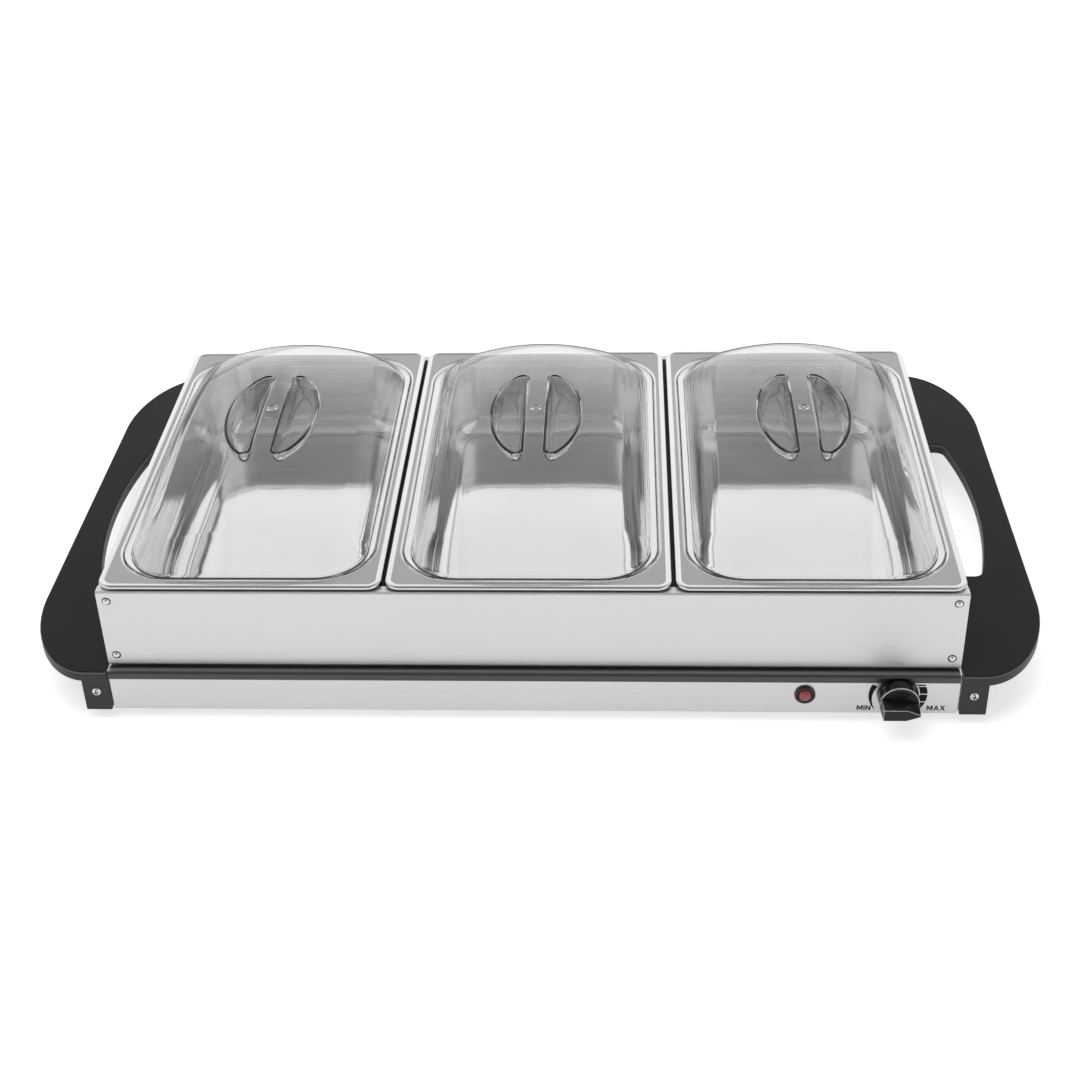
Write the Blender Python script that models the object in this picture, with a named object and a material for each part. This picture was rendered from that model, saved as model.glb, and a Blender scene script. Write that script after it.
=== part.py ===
# Electric food warmer tray: a heated base with two end handles, a lift-off buffet frame,
# three deep-drawn pans and three clear lids with finger grips.
# +X runs along the tray, the front with its control knob faces -Y, and +Z is up.
# The origin is the centre of the whole tray's footprint, on the surface that it stands on.

import math

import bmesh
import bpy
from mathutils import Matrix, Vector

mm = 0.001

# Fits and allowances shared by all pieces
seat_gap = 0.3 * mm  # between two faces that touch
overrun = 2 * mm  # how far a cutter runs past what it cuts

# Base housing, folded from thin stainless sheet
base_length = 521.2 * mm  # over the end walls
base_depth = 381 * mm
panel_height = 29.2 * mm  # bottom edge of the front panel to the top of the warming plate
sheet = 0.8 * mm
plate_skirt = 5 * mm  # the warming plate's folded edge, front and back
top_flange = 12 * mm
bottom_flange = 14 * mm
cover_inset = 3 * mm
vent_count = 6
vent_length = 46 * mm
vent_width = 5 * mm
vent_pitch = 14 * mm
vent_group_x = 118 * mm

# Rubber feet and the screws of the bottom cover
foot_height = 5.5 * mm
foot_radius = 9 * mm
foot_inset = 26 * mm  # foot centre from the housing's faces
foot_stem_radius = 2.6 * mm
foot_barb_radius = 3.4 * mm
foot_barb_height = 3 * mm
cover_screw_inset_x = 60 * mm
cover_screw_inset_y = 9 * mm
cover_screw_head_radius = 2.9 * mm
cover_screw_head_height = 1.9 * mm
cover_screw_radius = 1.5 * mm
cover_screw_length = 6 * mm

# End handles, moulded in black plastic
handle_projection = 58.9 * mm  # from the base's end to a handle's outer edge
handle_thickness = 7 * mm
handle_wall = 2.6 * mm
handle_corner_x = 45 * mm  # the swept corner's size along and across the tray
handle_corner_y = 78 * mm
handle_corner_power = 1.85
handle_edge_round = 1.4 * mm
hand_grip_width = 19.5 * mm  # the bar that the hand holds
hand_hole_end = 107 * mm  # from the handle's front and back edges to the hole
hand_hole_bow = 10.5 * mm  # of its outer edge
hand_hole_corner = 6.5 * mm
grip_rib_share = 0.47  # of the hand hole's half length
grip_rib_thickness = 2 * mm
tab_width = 16.2 * mm
tab_thickness = 3 * mm
tab_gusset = 24 * mm
ear_width = 12.5 * mm
handle_screw_radius = 1.6 * mm
handle_screw_head_radius = 2.9 * mm
handle_screw_head_height = 1.8 * mm
handle_screw_length = 9 * mm
handle_screw_x = 7.9 * mm  # from the end wall's face

# Heating element below the warming plate
element_radius = 3.2 * mm
element_margin = 87 * mm  # from the base's front and back to the outer runs
element_runs = 4
element_left_margin = 88.6 * mm  # from the base's ends to the middle of a half turn
element_right_margin = 164.6 * mm
element_end_margin = 102.6 * mm
clamp_shares = (-0.43, 0.1765)  # of the base's half length
clamp_width = 12 * mm
clamp_margin = 50 * mm  # from the base's front and back
clamp_foot = 12 * mm
reflector_left_margin = 28.6 * mm
reflector_right_margin = 110.6 * mm
reflector_margin = 34 * mm
reflector_drop = 4 * mm  # below the clamps
reflector_sheet = 0.6 * mm

# Thermostat, its shaft and the control knob
knob_inset = 37.6 * mm  # from the base's right-hand end
knob_radius = 12.4 * mm
knob_taper = 0.5 * mm
knob_skirt_length = 8.6 * mm
knob_edge_round = 0.9 * mm
knob_clearance = 1.7 * mm  # from the panel, so that it clears the plate's skirt
knob_wall = 2 * mm
knob_hub_radius = 5 * mm
knob_hub_depth = 4.4 * mm
bar_length = 23.4 * mm
bar_height = 10.3 * mm
bar_thickness = 7.2 * mm
bar_nose_length = 8.8 * mm
bar_nose_tip = 1.5 * mm
shaft_radius = 3 * mm
shaft_flat = 1 * mm
shaft_length = 24 * mm
shaft_tail = 7 * mm  # the stretch inside the thermostat
thermostat_width = 26 * mm
thermostat_depth = 17 * mm
thermostat_height = 17 * mm
thermostat_neck_radius = 4.7 * mm
thermostat_neck_length = 5.2 * mm
thermostat_blade_width = 6.3 * mm
thermostat_blade_length = 7 * mm
thermostat_blade_spread = 7 * mm
nut_across_flats = 14 * mm
nut_thickness = 2.4 * mm

# Indicator lamp
lamp_spacing = 56 * mm  # from the knob
lens_flange_radius = 6.3 * mm
lens_flange_thickness = 1.4 * mm
lens_dome_radius = 4.2 * mm
lens_dome_height = 2.2 * mm
lens_stem_radius = 3.2 * mm
lens_stem_length = 5 * mm
lamp_body_radius = 4.8 * mm
lamp_body_length = 13 * mm
lamp_body_wall = 1.1 * mm

# Wiring inside the base
gland_inset = 46.6 * mm  # from the base's right-hand end
gland_radius = 7.5 * mm
gland_flange = 2.5 * mm
gland_reach = 8 * mm
gland_bore_radius = 3.6 * mm
gland_neck_radius = 5.6 * mm
gland_neck_length = 8 * mm
terminal_length = 30 * mm
terminal_depth = 14 * mm
terminal_height = 12 * mm
terminal_step = 4 * mm
terminal_offset = 2 * mm  # from the cable gland
terminal_inset = 54 * mm  # from the base's back
terminal_ways = 3
fuse_offset = 17 * mm  # from the knob
fuse_length = 13 * mm
fuse_radius = 2.1 * mm
lead_radius = 1.1 * mm

# Buffet frame, which lifts off the base
frame_setback = 0.6 * mm  # inside the base's ends
frame_depth = 303.7 * mm
frame_height = 56 * mm
frame_ledge = 6.8 * mm  # base top that shows in front of the frame
frame_sheet = 0.8 * mm
frame_flange = 7 * mm
frame_hem = 6 * mm
frame_tab = 15 * mm
rivet_inset_x = 6 * mm
rivet_inset_top = 7.4 * mm
rivet_inset_bottom = 8.4 * mm
rivet_radius = 1.2 * mm
rivet_head_radius = 2 * mm
rivet_head_height = 0.9 * mm
rail_leg = 9 * mm
rail_side_clearance = 2.2 * mm

# Pans, deep drawn with a rolled rim
pan_count = 3
pan_spacing = 2 * mm  # between neighbouring rims
pan_edge_inset = 0.8 * mm  # rim inside the frame's faces
pan_sheet = 0.7 * mm
pan_rim_height = 2.8 * mm
pan_rim_radius = 9 * mm
pan_rim_round = 1 * mm
pan_margin_side = 7.4 * mm  # rim edge to the opening
pan_margin_end = 8.4 * mm
pan_opening_radius = 36 * mm
pan_step_depth = 3.5 * mm
pan_step_round = 1.2 * mm
pan_ledge = 5 * mm  # the shelf that the lid rests on
pan_draft = 3.6 * mm
pan_floor_radius = 14 * mm
pan_floor_clearance = 3 * mm  # pan bottom above the warming plate

# Lids, moulded in clear plastic
lid_clearance = 0.6 * mm
lid_wall = 2 * mm
lid_flange = 4.2 * mm
lid_rise = 40.5 * mm  # crown above the lid's own seat
lid_shoulder = 14 * mm
lid_crown_radius_x = 152 * mm
lid_crown_radius_y = 451 * mm
lid_shoulder_shares = (0.0, 0.06, 0.2, 0.45, 0.75, 1.0)
lid_crown_shares = (0.75, 0.4)
lid_inner_shoulder_shares = (0.0, 0.15, 0.5, 1.0)
lid_inner_crown_shares = (0.5,)
grip_length = 112 * mm
grip_width = 57 * mm
grip_bar = 15.3 * mm
pocket_depth = 13 * mm
pocket_draft = 2.6 * mm

# Facets
corner_steps = 5
long_side_steps = 4
short_side_steps = 2
round_sides = 16
knob_sides = 32
rivet_sides = 8
foot_sides = 14
small_sides = 10
slot_steps = 3
pan_radius_steps = 3
pocket_steps = 9
pocket_edge_steps = 4
handle_corner_steps = 9
hole_corner_steps = 3
hole_bow_steps = 8

# Places worked out from the sizes above
knob_projection = knob_clearance + knob_skirt_length + bar_height
face_setback = sheet + seat_gap  # the front panel's face behind the plate's skirt
half_length, half_depth = base_length / 2, base_depth / 2
base_y = (knob_projection - gland_reach) / 2
cover_bottom = foot_height + seat_gap
housing_bottom = cover_bottom + sheet + seat_gap
base_top = housing_bottom + panel_height
housing_top = base_top - sheet - seat_gap
face_y = -base_depth / 2 + face_setback
panel_middle = housing_bottom + panel_height / 2
handle_x = half_length + seat_gap
handle_reach = half_length + handle_projection
hand_hole_width = handle_reach - handle_x - hand_grip_width
hand_hole_half = half_depth - hand_hole_end
hand_hole_radius = (hand_hole_half ** 2 + hand_hole_bow ** 2) / (2 * hand_hole_bow)
hand_hole_centre = handle_x + hand_hole_width - hand_hole_radius
grip_rib_y = hand_hole_half * grip_rib_share
knob_x = half_length - knob_inset
lamp_x = knob_x - lamp_spacing
gland_x = half_length - gland_inset
terminal_x = gland_x - terminal_offset
terminal_y = half_depth - terminal_inset
fuse_x = knob_x - fuse_offset
frame_length = base_length - 2 * frame_setback
frame_y = base_y - base_depth / 2 + frame_ledge + frame_depth / 2
frame_bottom = base_top + seat_gap
frame_top = frame_bottom + frame_height
pan_rim_top = seat_gap + pan_rim_height
pan_length = (frame_length - 2 * pan_edge_inset - (pan_count - 1) * pan_spacing) / pan_count
pan_pitch = pan_length + pan_spacing
pan_half_x = pan_length / 2
pan_half_y = frame_depth / 2 - pan_edge_inset
opening_half_x = pan_half_x - pan_margin_side
opening_half_y = pan_half_y - pan_margin_end
pan_depth = frame_height + seat_gap - pan_floor_clearance
ledge_z = pan_rim_top - pan_step_depth
lid_z = frame_top + ledge_z + seat_gap
element_z = base_top - sheet - seat_gap - element_radius
element_pitch = (base_depth - 2 * element_margin) / (element_runs - 1)
element_left, element_right = half_length - element_left_margin, half_length - element_right_margin
element_end = half_length - element_end_margin
clamp_half = half_depth - clamp_margin
reflector_left, reflector_right = half_length - reflector_left_margin, half_length - reflector_right_margin
reflector_half = half_depth - reflector_margin
clamp_top = element_z - element_radius - seat_gap
reflector_top = clamp_top - sheet - reflector_drop

side_names = {-1: "left", 1: "right"}
end_names = {-1: "front", 1: "back"}
pan_names = ("left", "centre", "right")


# Scene and materials

def clear_scene():
    for item in list(bpy.data.objects):
        bpy.data.objects.remove(item, do_unlink=True)


def surface(name, colour, roughness, metallic=0.0, alpha=1.0):
    material = bpy.data.materials.new(name)
    material.use_nodes = True
    shader = material.node_tree.nodes["Principled BSDF"]
    shader.inputs["Base Color"].default_value = (*colour, 1.0)
    shader.inputs["Roughness"].default_value = roughness
    shader.inputs["Metallic"].default_value = metallic
    shader.inputs["Alpha"].default_value = alpha
    return material


def make_surfaces():
    return {
        "steel": surface("stainless_steel", (0.70, 0.70, 0.69), 0.32, 1.0),
        "pan": surface("polished_steel", (0.74, 0.74, 0.73), 0.16, 1.0),
        "inner": surface("galvanised_steel", (0.55, 0.56, 0.57), 0.5, 1.0),
        "heater": surface("heater_sheath", (0.32, 0.30, 0.28), 0.45, 0.9),
        "handle": surface("black_plastic", (0.03, 0.03, 0.031), 0.42),
        "knob": surface("knob_plastic", (0.02, 0.02, 0.021), 0.3),
        "screw": surface("plated_steel", (0.78, 0.78, 0.77), 0.25, 1.0),
        "clear": surface("clear_plastic", (0.95, 0.97, 0.97), 0.05, 0.0, 0.3),
        "lens": surface("red_lens", (0.32, 0.02, 0.03), 0.15),
        "rubber": surface("foot_rubber", (0.05, 0.05, 0.05), 0.8),
        "ceramic": surface("terminal_ceramic", (0.82, 0.80, 0.74), 0.6),
        "lead": surface("lead_sleeve", (0.75, 0.74, 0.70), 0.6),
    }


def empty_at(name, place, parent=None):
    holder = bpy.data.objects.new(name, None)
    holder.location = place
    holder.parent = parent
    bpy.context.scene.collection.objects.link(holder)
    return holder


# Mesh building

def add_object(name, build, material, parent, smooth=False):
    """Make an object from a filled bmesh, with its faces pointing outwards."""
    bmesh.ops.recalc_face_normals(build, faces=build.faces)
    mesh = bpy.data.meshes.new(name)
    build.to_mesh(mesh)
    build.free()
    if material:
        mesh.materials.append(material)
    if smooth:
        mesh.shade_smooth()
        mesh.set_sharp_from_angle(angle=math.radians(40))
    item = bpy.data.objects.new(name, mesh)
    item.parent = parent
    bpy.context.scene.collection.objects.link(item)
    return item


def box(name, low, high, material=None, parent=None):
    build = bmesh.new()
    size = Vector(high) - Vector(low)
    middle = (Vector(high) + Vector(low)) / 2
    bmesh.ops.create_cube(build, size=1, matrix=Matrix.Translation(middle) @ Matrix.Diagonal((*size, 1)))
    return add_object(name, build, material, parent)


def loft(name, rings, material=None, parent=None, smooth=False):
    """Join rings of equal counts into one closed solid; a ring of one point is a tip."""
    build = bmesh.new()
    rows = [[build.verts.new(point) for point in ring] for ring in rings]
    for lower, upper in zip(rows, rows[1:]):
        count = max(len(lower), len(upper))
        for step in range(count):
            after = (step + 1) % count
            corners = [lower[step % len(lower)], lower[after % len(lower)],
                       upper[after % len(upper)], upper[step % len(upper)]]
            build.faces.new(list(dict.fromkeys(corners)))
    for row in (rows[0], rows[-1]):
        if len(row) > 1:
            build.faces.new(row)
    return add_object(name, build, material, parent, smooth)


def prism(name, outline, low, high, axis="Z", material=None, parent=None, smooth=False):
    """Extrude a flat outline along an axis; it is drawn in the other two axes, in X, Y, Z order."""
    order = {"X": (2, 0, 1), "Y": (0, 2, 1), "Z": (0, 1, 2)}[axis]
    rings = [[[(u, v, level)[index] for index in order] for u, v in outline] for level in (low, high)]
    return loft(name, rings, material, parent, smooth)


def turned(name, profile, sides, material=None, parent=None, smooth=True):
    """Turn a profile of radii and heights about Z; a radius of zero is a point on the axis."""
    rings = []
    for radius, height in profile:
        if radius == 0:
            rings.append([(0, 0, height)])
        else:
            turns = [2 * math.pi * step / sides for step in range(sides)]
            rings.append([(radius * math.cos(t), radius * math.sin(t), height) for t in turns])
    return loft(name, rings, material, parent, smooth)


def point_along(item, direction):
    """Turn an object so that its own Z runs along a direction."""
    item.rotation_euler = Vector(direction).to_track_quat("Z", "Y").to_euler()
    return item


def offset_path(path, distance):
    """Shift an open path sideways to its left, with mitred corners."""
    shifted = []
    for index, here in enumerate(path):
        spans = []
        if index > 0:
            spans.append((Vector(here) - Vector(path[index - 1])).normalized())
        if index < len(path) - 1:
            spans.append((Vector(path[index + 1]) - Vector(here)).normalized())
        sides = [Vector((-span.y, span.x)) for span in spans]
        mitre = sum(sides, Vector((0, 0))).normalized()
        shifted.append(tuple(Vector(here) + mitre * (distance / mitre.dot(sides[0]))))
    return shifted


def folded(name, path, thickness, low, high, axis, material, parent):
    """A sheet folded along a path, its thickness laid to the path's left."""
    return prism(name, path + offset_path(path, thickness)[::-1], low, high, axis, material, parent)


def combine(target, tool, operation):
    """Unite, cut or intersect with a tool, which is kept out of the model."""
    tool.hide_render = True
    tool.display_type = "WIRE"
    change = target.modifiers.new(f"{operation.lower()}_{tool.name}", "BOOLEAN")
    change.operation = operation
    change.object = tool
    change.solver = "EXACT"
    return target


def cut_hole(target, name, place, radius, direction, length, parent, sides=small_sides):
    tool = turned(name, [(0, -length / 2), (radius, -length / 2), (radius, length / 2), (0, length / 2)], sides)
    tool.parent = parent
    tool.location = place
    point_along(tool, direction)
    combine(target, tool, "DIFFERENCE")


def rounded_outline(half_x, half_y, radius, short_steps=1, long_steps=1):
    """A rectangle with round corners and divided sides, anticlockwise from the right-hand side."""
    radius = min(radius, half_x, half_y)
    outline = []
    corners = ((1, 1, 0), (-1, 1, 1), (-1, -1, 2), (1, -1, 3))
    for sign_x, sign_y, quarter in corners:
        middle = Vector((sign_x * (half_x - radius), sign_y * (half_y - radius)))
        for step in range(corner_steps + 1):
            turn = (quarter + step / corner_steps) * math.pi / 2
            outline.append(tuple(middle + radius * Vector((math.cos(turn), math.sin(turn)))))
        along_x = quarter % 2 == 0
        steps = short_steps if along_x else long_steps
        start = Vector(outline[-1])
        run = Vector((-2 * sign_x * (half_x - radius), 0)) if along_x else Vector((0, -2 * sign_y * (half_y - radius)))
        outline += [tuple(start + run * step / steps) for step in range(1, steps)]
    return outline


def at_height(outline, height):
    return [(x, y, height) for x, y in outline]


def arc_shares(steps):
    """Sine and one-less-cosine of even steps over a quarter turn."""
    turns = [math.pi / 2 * step / steps for step in range(steps + 1)]
    return [(math.sin(turn), 1 - math.cos(turn)) for turn in turns]


# Base housing

def make_front_or_back(end, steel, base):
    """A channel-shaped panel; its open side faces the middle of the base."""
    face = end * -face_y
    inward = -end
    path = [
        (face + inward * top_flange, housing_top),
        (face, housing_top),
        (face, housing_bottom),
        (face + inward * bottom_flange, housing_bottom),
    ]
    half = base_length / 2 - sheet - seat_gap
    thickness = -end * sheet
    panel = folded(f"{end_names[end]}_panel", path, thickness, -half, half, "X", steel, base)
    for side in (-1, 1):
        place = (side * (base_length / 2 - cover_screw_inset_x), face + inward * cover_screw_inset_y, housing_bottom)
        hole = cover_screw_radius + seat_gap
        cut_hole(panel, f"{panel.name}_screw_hole_{side}", place, hole, (0, 0, 1), bottom_flange, base)
    return panel


def make_end_wall(side, steel, base):
    """An end wall with inward flanges and two outward ears that the handle's screws go into."""
    name = f"{side_names[side]}_end_wall"
    outer = side * base_length / 2
    ear_y = base_depth / 2 - tab_thickness - seat_gap
    path = [
        (outer - side * top_flange, housing_top),
        (outer, housing_top),
        (outer, housing_bottom),
        (outer - side * top_flange, housing_bottom),
    ]
    wall = folded(name, path, side * -sheet, -ear_y, ear_y, "Y", steel, base)
    ear_top = base_top - handle_thickness - seat_gap
    for end in (-1, 1):
        near, far = sorted((end * ear_y, end * (ear_y - sheet)))
        left, right = sorted((outer - side * sheet / 2, outer + side * ear_width))
        ear = box(f"{name}_ear_{end}", (left, near, housing_bottom + sheet), (right, far, ear_top), parent=base)
        combine(wall, ear, "UNION")
        notch_y = sorted((end * (base_depth / 2 - face_setback - bottom_flange - seat_gap), end * base_depth / 2))
        inner = outer - side * (sheet + seat_gap / 2)
        notch_x = sorted((inner, outer - side * (top_flange + overrun)))
        for part, low, high in (
            ("top", housing_top - sheet - seat_gap, base_top),
            ("bottom", 0, housing_bottom + sheet + seat_gap),
        ):
            notch = box(f"{name}_{part}_notch_{end}", (notch_x[0], notch_y[0], low),
                        (notch_x[1], notch_y[1], high), parent=base)
            combine(wall, notch, "DIFFERENCE")
        place = (outer + side * handle_screw_x, end * ear_y, panel_middle)
        hole = handle_screw_radius + seat_gap
        cut_hole(wall, f"{name}_screw_hole_{end}", place, hole, (0, 1, 0), tab_thickness, base)
    return wall


def make_warming_plate(steel, base):
    """The flat top that the pans stand over, with a folded skirt along its front and back."""
    half_y = base_depth / 2
    path = [(-half_y, base_top - plate_skirt), (-half_y, base_top), (half_y, base_top), (half_y, base_top - plate_skirt)]
    half_x = base_length / 2 - sheet - seat_gap
    return folded("warming_plate", path, -sheet, -half_x, half_x, "X", steel, base)


def make_bottom_cover(steel, base):
    """The flat cover below, with two groups of cooling slots."""
    half_x = base_length / 2 - cover_inset
    half_y = base_depth / 2 - face_setback - cover_inset
    cover = box("bottom_cover", (-half_x, -half_y, cover_bottom), (half_x, half_y, cover_bottom + sheet), steel, base)
    for group in (-1, 1):
        for index in range(vent_count):
            y = (index - (vent_count - 1) / 2) * vent_pitch
            outline = slot_outline(group * vent_group_x, y, vent_length, vent_width)
            tool = prism(f"vent_{group}_{index}", outline, 0, housing_bottom + sheet, parent=base)
            combine(cover, tool, "DIFFERENCE")
    for side in (-1, 1):
        for end in (-1, 1):
            label = f"{end_names[end]}_{side_names[side]}"
            stem = (*foot_place(side, end), cover_bottom)
            cut_hole(cover, f"stem_hole_{label}", stem, foot_stem_radius + seat_gap, (0, 0, 1), foot_height, base)
            screw = (*cover_screw_place(side, end), cover_bottom)
            cut_hole(cover, f"cover_hole_{label}", screw, cover_screw_radius + seat_gap, (0, 0, 1), foot_height, base)
    return cover


def slot_outline(x, y, length, width):
    """A slot along X with round ends."""
    outline = []
    for sign in (1, -1):
        for step in range(slot_steps + 1):
            turn = -sign * math.pi / 2 + step * math.pi / slot_steps
            centre = x + sign * (length - width) / 2
            outline.append((centre + width / 2 * math.cos(turn), y + width / 2 * math.sin(turn)))
    return outline


def foot_place(side, end):
    return side * (base_length / 2 - foot_inset), end * (base_depth / 2 - foot_inset)


def cover_screw_place(side, end):
    return (side * (base_length / 2 - cover_screw_inset_x),
            end * (base_depth / 2 - face_setback - cover_screw_inset_y))


def make_feet(rubber, screw, base):
    """Push-in rubber feet and the cover's four screws."""
    rim = foot_height / 5
    foot_profile = [
        (0, 0), (foot_radius - rim, 0), (foot_radius, rim), (foot_radius, foot_height), (foot_stem_radius, foot_height),
        (foot_stem_radius, cover_bottom + sheet + seat_gap),
        (foot_barb_radius, cover_bottom + sheet + seat_gap),
        (foot_stem_radius, cover_bottom + sheet + foot_barb_height), (0, cover_bottom + sheet + foot_barb_height),
    ]
    head_top = cover_bottom - seat_gap
    screw_profile = [
        (0, head_top - cover_screw_head_height), (cover_screw_head_radius * 0.8, head_top - cover_screw_head_height),
        (cover_screw_head_radius, head_top - cover_screw_head_height / 2), (cover_screw_head_radius, head_top),
        (cover_screw_radius, head_top), (cover_screw_radius, head_top + cover_screw_length), (0, head_top + cover_screw_length),
    ]
    for side in (-1, 1):
        for end in (-1, 1):
            label = f"{end_names[end]}_{side_names[side]}"
            foot = turned(f"foot_{label}", foot_profile, foot_sides, rubber, base)
            foot.location = (*foot_place(side, end), 0)
            fixing = turned(f"cover_screw_{label}", screw_profile, small_sides, screw, base)
            fixing.location = (*cover_screw_place(side, end), 0)


# End handles

def superellipse(centre_x, centre_y, size_x, size_y, power, start, finish, steps):
    """Points of a rounded corner between two angles, as shares of a quarter turn."""
    points = []
    for step in range(steps + 1):
        turn = math.radians(90) * (start + (finish - start) * step / steps)
        across, along = math.cos(turn), math.sin(turn)
        points.append((
            centre_x + size_x * math.copysign(abs(across) ** (2 / power), across),
            centre_y + size_y * math.copysign(abs(along) ** (2 / power), along),
        ))
    return points


def handle_outline(inset):
    """The right-hand handle seen from above, drawn in from its edge by an inset."""
    half_y = base_depth / 2 - inset
    corner_x = handle_reach - handle_corner_x
    corner_y = base_depth / 2 - handle_corner_y
    size_x, size_y = handle_corner_x - inset, handle_corner_y - inset
    inner = handle_x + inset
    steps = handle_corner_steps
    front = superellipse(corner_x, -corner_y, size_x, size_y, handle_corner_power, -1, 0, steps)
    back = superellipse(corner_x, corner_y, size_x, size_y, handle_corner_power, 0, 1, steps)
    edge = hand_hole_half + inset
    return [(inner, -half_y)] + front + back + [(inner, half_y), (inner, edge)] + hand_hole(inset) + [(inner, -edge)]


def hand_hole(inset):
    """The hole's bowed outer edge between two round corners, from back to front."""
    along = hand_hole_half - hand_hole_corner
    across = math.sqrt((hand_hole_radius - hand_hole_corner) ** 2 - along ** 2)
    lean = math.atan2(along, across)
    corner = [math.pi / 2 + (lean - math.pi / 2) * step / hole_corner_steps for step in range(hole_corner_steps)]
    bow = [lean - 2 * lean * step / hole_bow_steps for step in range(hole_bow_steps + 1)]
    radius = hand_hole_corner + inset
    back = [(hand_hole_centre + across + radius * math.cos(turn), along + radius * math.sin(turn)) for turn in corner]
    middle = [(hand_hole_centre + (hand_hole_radius + inset) * math.cos(turn),
               (hand_hole_radius + inset) * math.sin(turn)) for turn in bow]
    return back + middle + [(x, -y) for x, y in back[::-1]]


def mirrored(outline, side):
    return [(side * x, y) for x, y in outline]


def make_handle(side, plastic, base):
    """A flat moulded handle, hollow and ribbed below, with a screwed tab at each end."""
    name = f"{side_names[side]}_handle"
    underside = base_top - handle_thickness
    rise = base_top - handle_edge_round
    round_inset = handle_edge_round * (1 - math.cos(math.pi / 4))
    levels = (
        (0, underside), (0, rise), (round_inset, rise + handle_edge_round * math.sin(math.pi / 4)),
        (handle_edge_round, base_top),
    )
    rings = [at_height(mirrored(handle_outline(inset), side), z) for inset, z in levels]
    handle = loft(name, rings, plastic, base, smooth=True)
    hollow = prism(f"{name}_hollow", mirrored(handle_outline(handle_wall), side),
                   underside - overrun, base_top - handle_wall, parent=base)
    combine(handle, hollow, "DIFFERENCE")
    grip_inner = hand_hole_centre + math.sqrt(hand_hole_radius ** 2 - grip_rib_y ** 2)
    for end in (-1, 1):
        low = end * grip_rib_y - grip_rib_thickness / 2
        across = sorted((side * (grip_inner + handle_wall / 2), side * (handle_reach - handle_wall / 2)))
        rib = box(f"{name}_rib_{end}", (across[0], low, underside + handle_wall / 2),
                  (across[1], low + grip_rib_thickness, base_top - handle_wall / 2), parent=base)
        combine(handle, rib, "UNION")
        add_handle_tab(handle, side, end, base)
    return handle


def add_handle_tab(handle, side, end, base):
    """The tab hangs over the housing's corner, stiffened by a gusset along its outer edge."""
    name = f"{handle.name}_tab_{end}"
    face = end * base_depth / 2
    across = sorted((side * handle_x, side * (handle_x + tab_width)))
    along = sorted((face, face - end * tab_thickness))
    into_plate = base_top - handle_wall / 2
    tab = box(name, (across[0], along[0], housing_bottom), (across[1], along[1], into_plate), parent=base)
    combine(handle, tab, "UNION")
    start = face - end * tab_thickness / 2
    outline = [(start, housing_bottom + handle_wall), (start, into_plate),
               (face - end * tab_gusset, into_plate), (face - end * tab_gusset, base_top - handle_thickness)]
    edge = sorted((side * (handle_x + tab_width - handle_wall / 4), side * (handle_x + tab_width - handle_wall)))
    gusset = prism(f"{name}_gusset", outline, edge[0], edge[1], "X", parent=base)
    combine(handle, gusset, "UNION")
    place = (side * (base_length / 2 + handle_screw_x), face, panel_middle)
    cut_hole(handle, f"{name}_hole", place, handle_screw_radius + seat_gap, (0, 1, 0), 3 * tab_thickness, base)


def make_handle_screws(plated, base):
    """Pan-head screws through the tabs into the end walls' ears."""
    head = handle_screw_head_height
    profile = [
        (0, head), (handle_screw_head_radius * 0.55, head), (handle_screw_head_radius * 0.9, head * 0.6),
        (handle_screw_head_radius, 0), (handle_screw_radius, 0), (handle_screw_radius, -handle_screw_length),
        (0, -handle_screw_length),
    ]
    for side in (-1, 1):
        for end in (-1, 1):
            name = f"handle_screw_{end_names[end]}_{side_names[side]}"
            item = turned(name, profile, small_sides, plated, base)
            item.location = (side * (base_length / 2 + handle_screw_x), end * (base_depth / 2 + seat_gap), panel_middle)
            point_along(item, (0, end, 0))


# Heater

def tube(name, points, radius, material, parent, detail=2):
    curve = bpy.data.curves.new(name, "CURVE")
    curve.dimensions = "3D"
    curve.bevel_depth = radius
    curve.bevel_resolution = detail
    curve.resolution_u = 1
    curve.render_resolution_u = 0
    curve.use_fill_caps = True
    curve.materials.append(material)
    spline = curve.splines.new("POLY")
    spline.points.add(len(points) - 1)
    for target, point in zip(spline.points, points):
        target.co = (*point, 1)
    item = bpy.data.objects.new(name, curve)
    item.parent = parent
    bpy.context.scene.collection.objects.link(item)
    return item


def element_path():
    """Four runs along the tray joined by three half turns, both ends leaving on the right."""
    middle = (element_runs - 1) / 2
    rows = [(index - middle) * element_pitch for index in range(element_runs)]
    turn_steps = 8
    path = [(element_end, rows[0])]
    for index, row in enumerate(rows[:-1]):
        outward = -1 if index % 2 == 0 else 1
        centre_x = -element_left if outward < 0 else element_right
        for step in range(turn_steps + 1):
            turn = -math.pi / 2 + math.pi * step / turn_steps
            x = centre_x + outward * element_pitch / 2 * math.cos(turn)
            y = row + element_pitch / 2 + element_pitch / 2 * math.sin(turn)
            path.append((x, y))
    path.append((element_end, rows[-1]))
    return path


def make_heater(looks, base):
    path = [(x, y, element_z) for x, y in element_path()]
    tube("heating_element", path, element_radius, looks["heater"], base)
    plate_underside = housing_top
    for index, share in enumerate(clamp_shares):
        place = half_length * share
        outline = [
            (-clamp_half - clamp_foot, plate_underside), (-clamp_half, plate_underside), (-clamp_half, clamp_top),
            (clamp_half, clamp_top), (clamp_half, plate_underside), (clamp_half + clamp_foot, plate_underside),
        ]
        folded(f"element_clamp_{('left', 'right')[index]}", outline, -sheet,
               place - clamp_width / 2, place + clamp_width / 2, "X", looks["inner"], base)
    floor = cover_bottom + sheet + seat_gap
    outline = [(-reflector_half, floor), (-reflector_half, reflector_top),
               (reflector_half, reflector_top), (reflector_half, floor)]
    folded("heat_reflector", outline, -reflector_sheet, -reflector_left, reflector_right, "X", looks["inner"], base)


# Thermostat and knob

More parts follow.
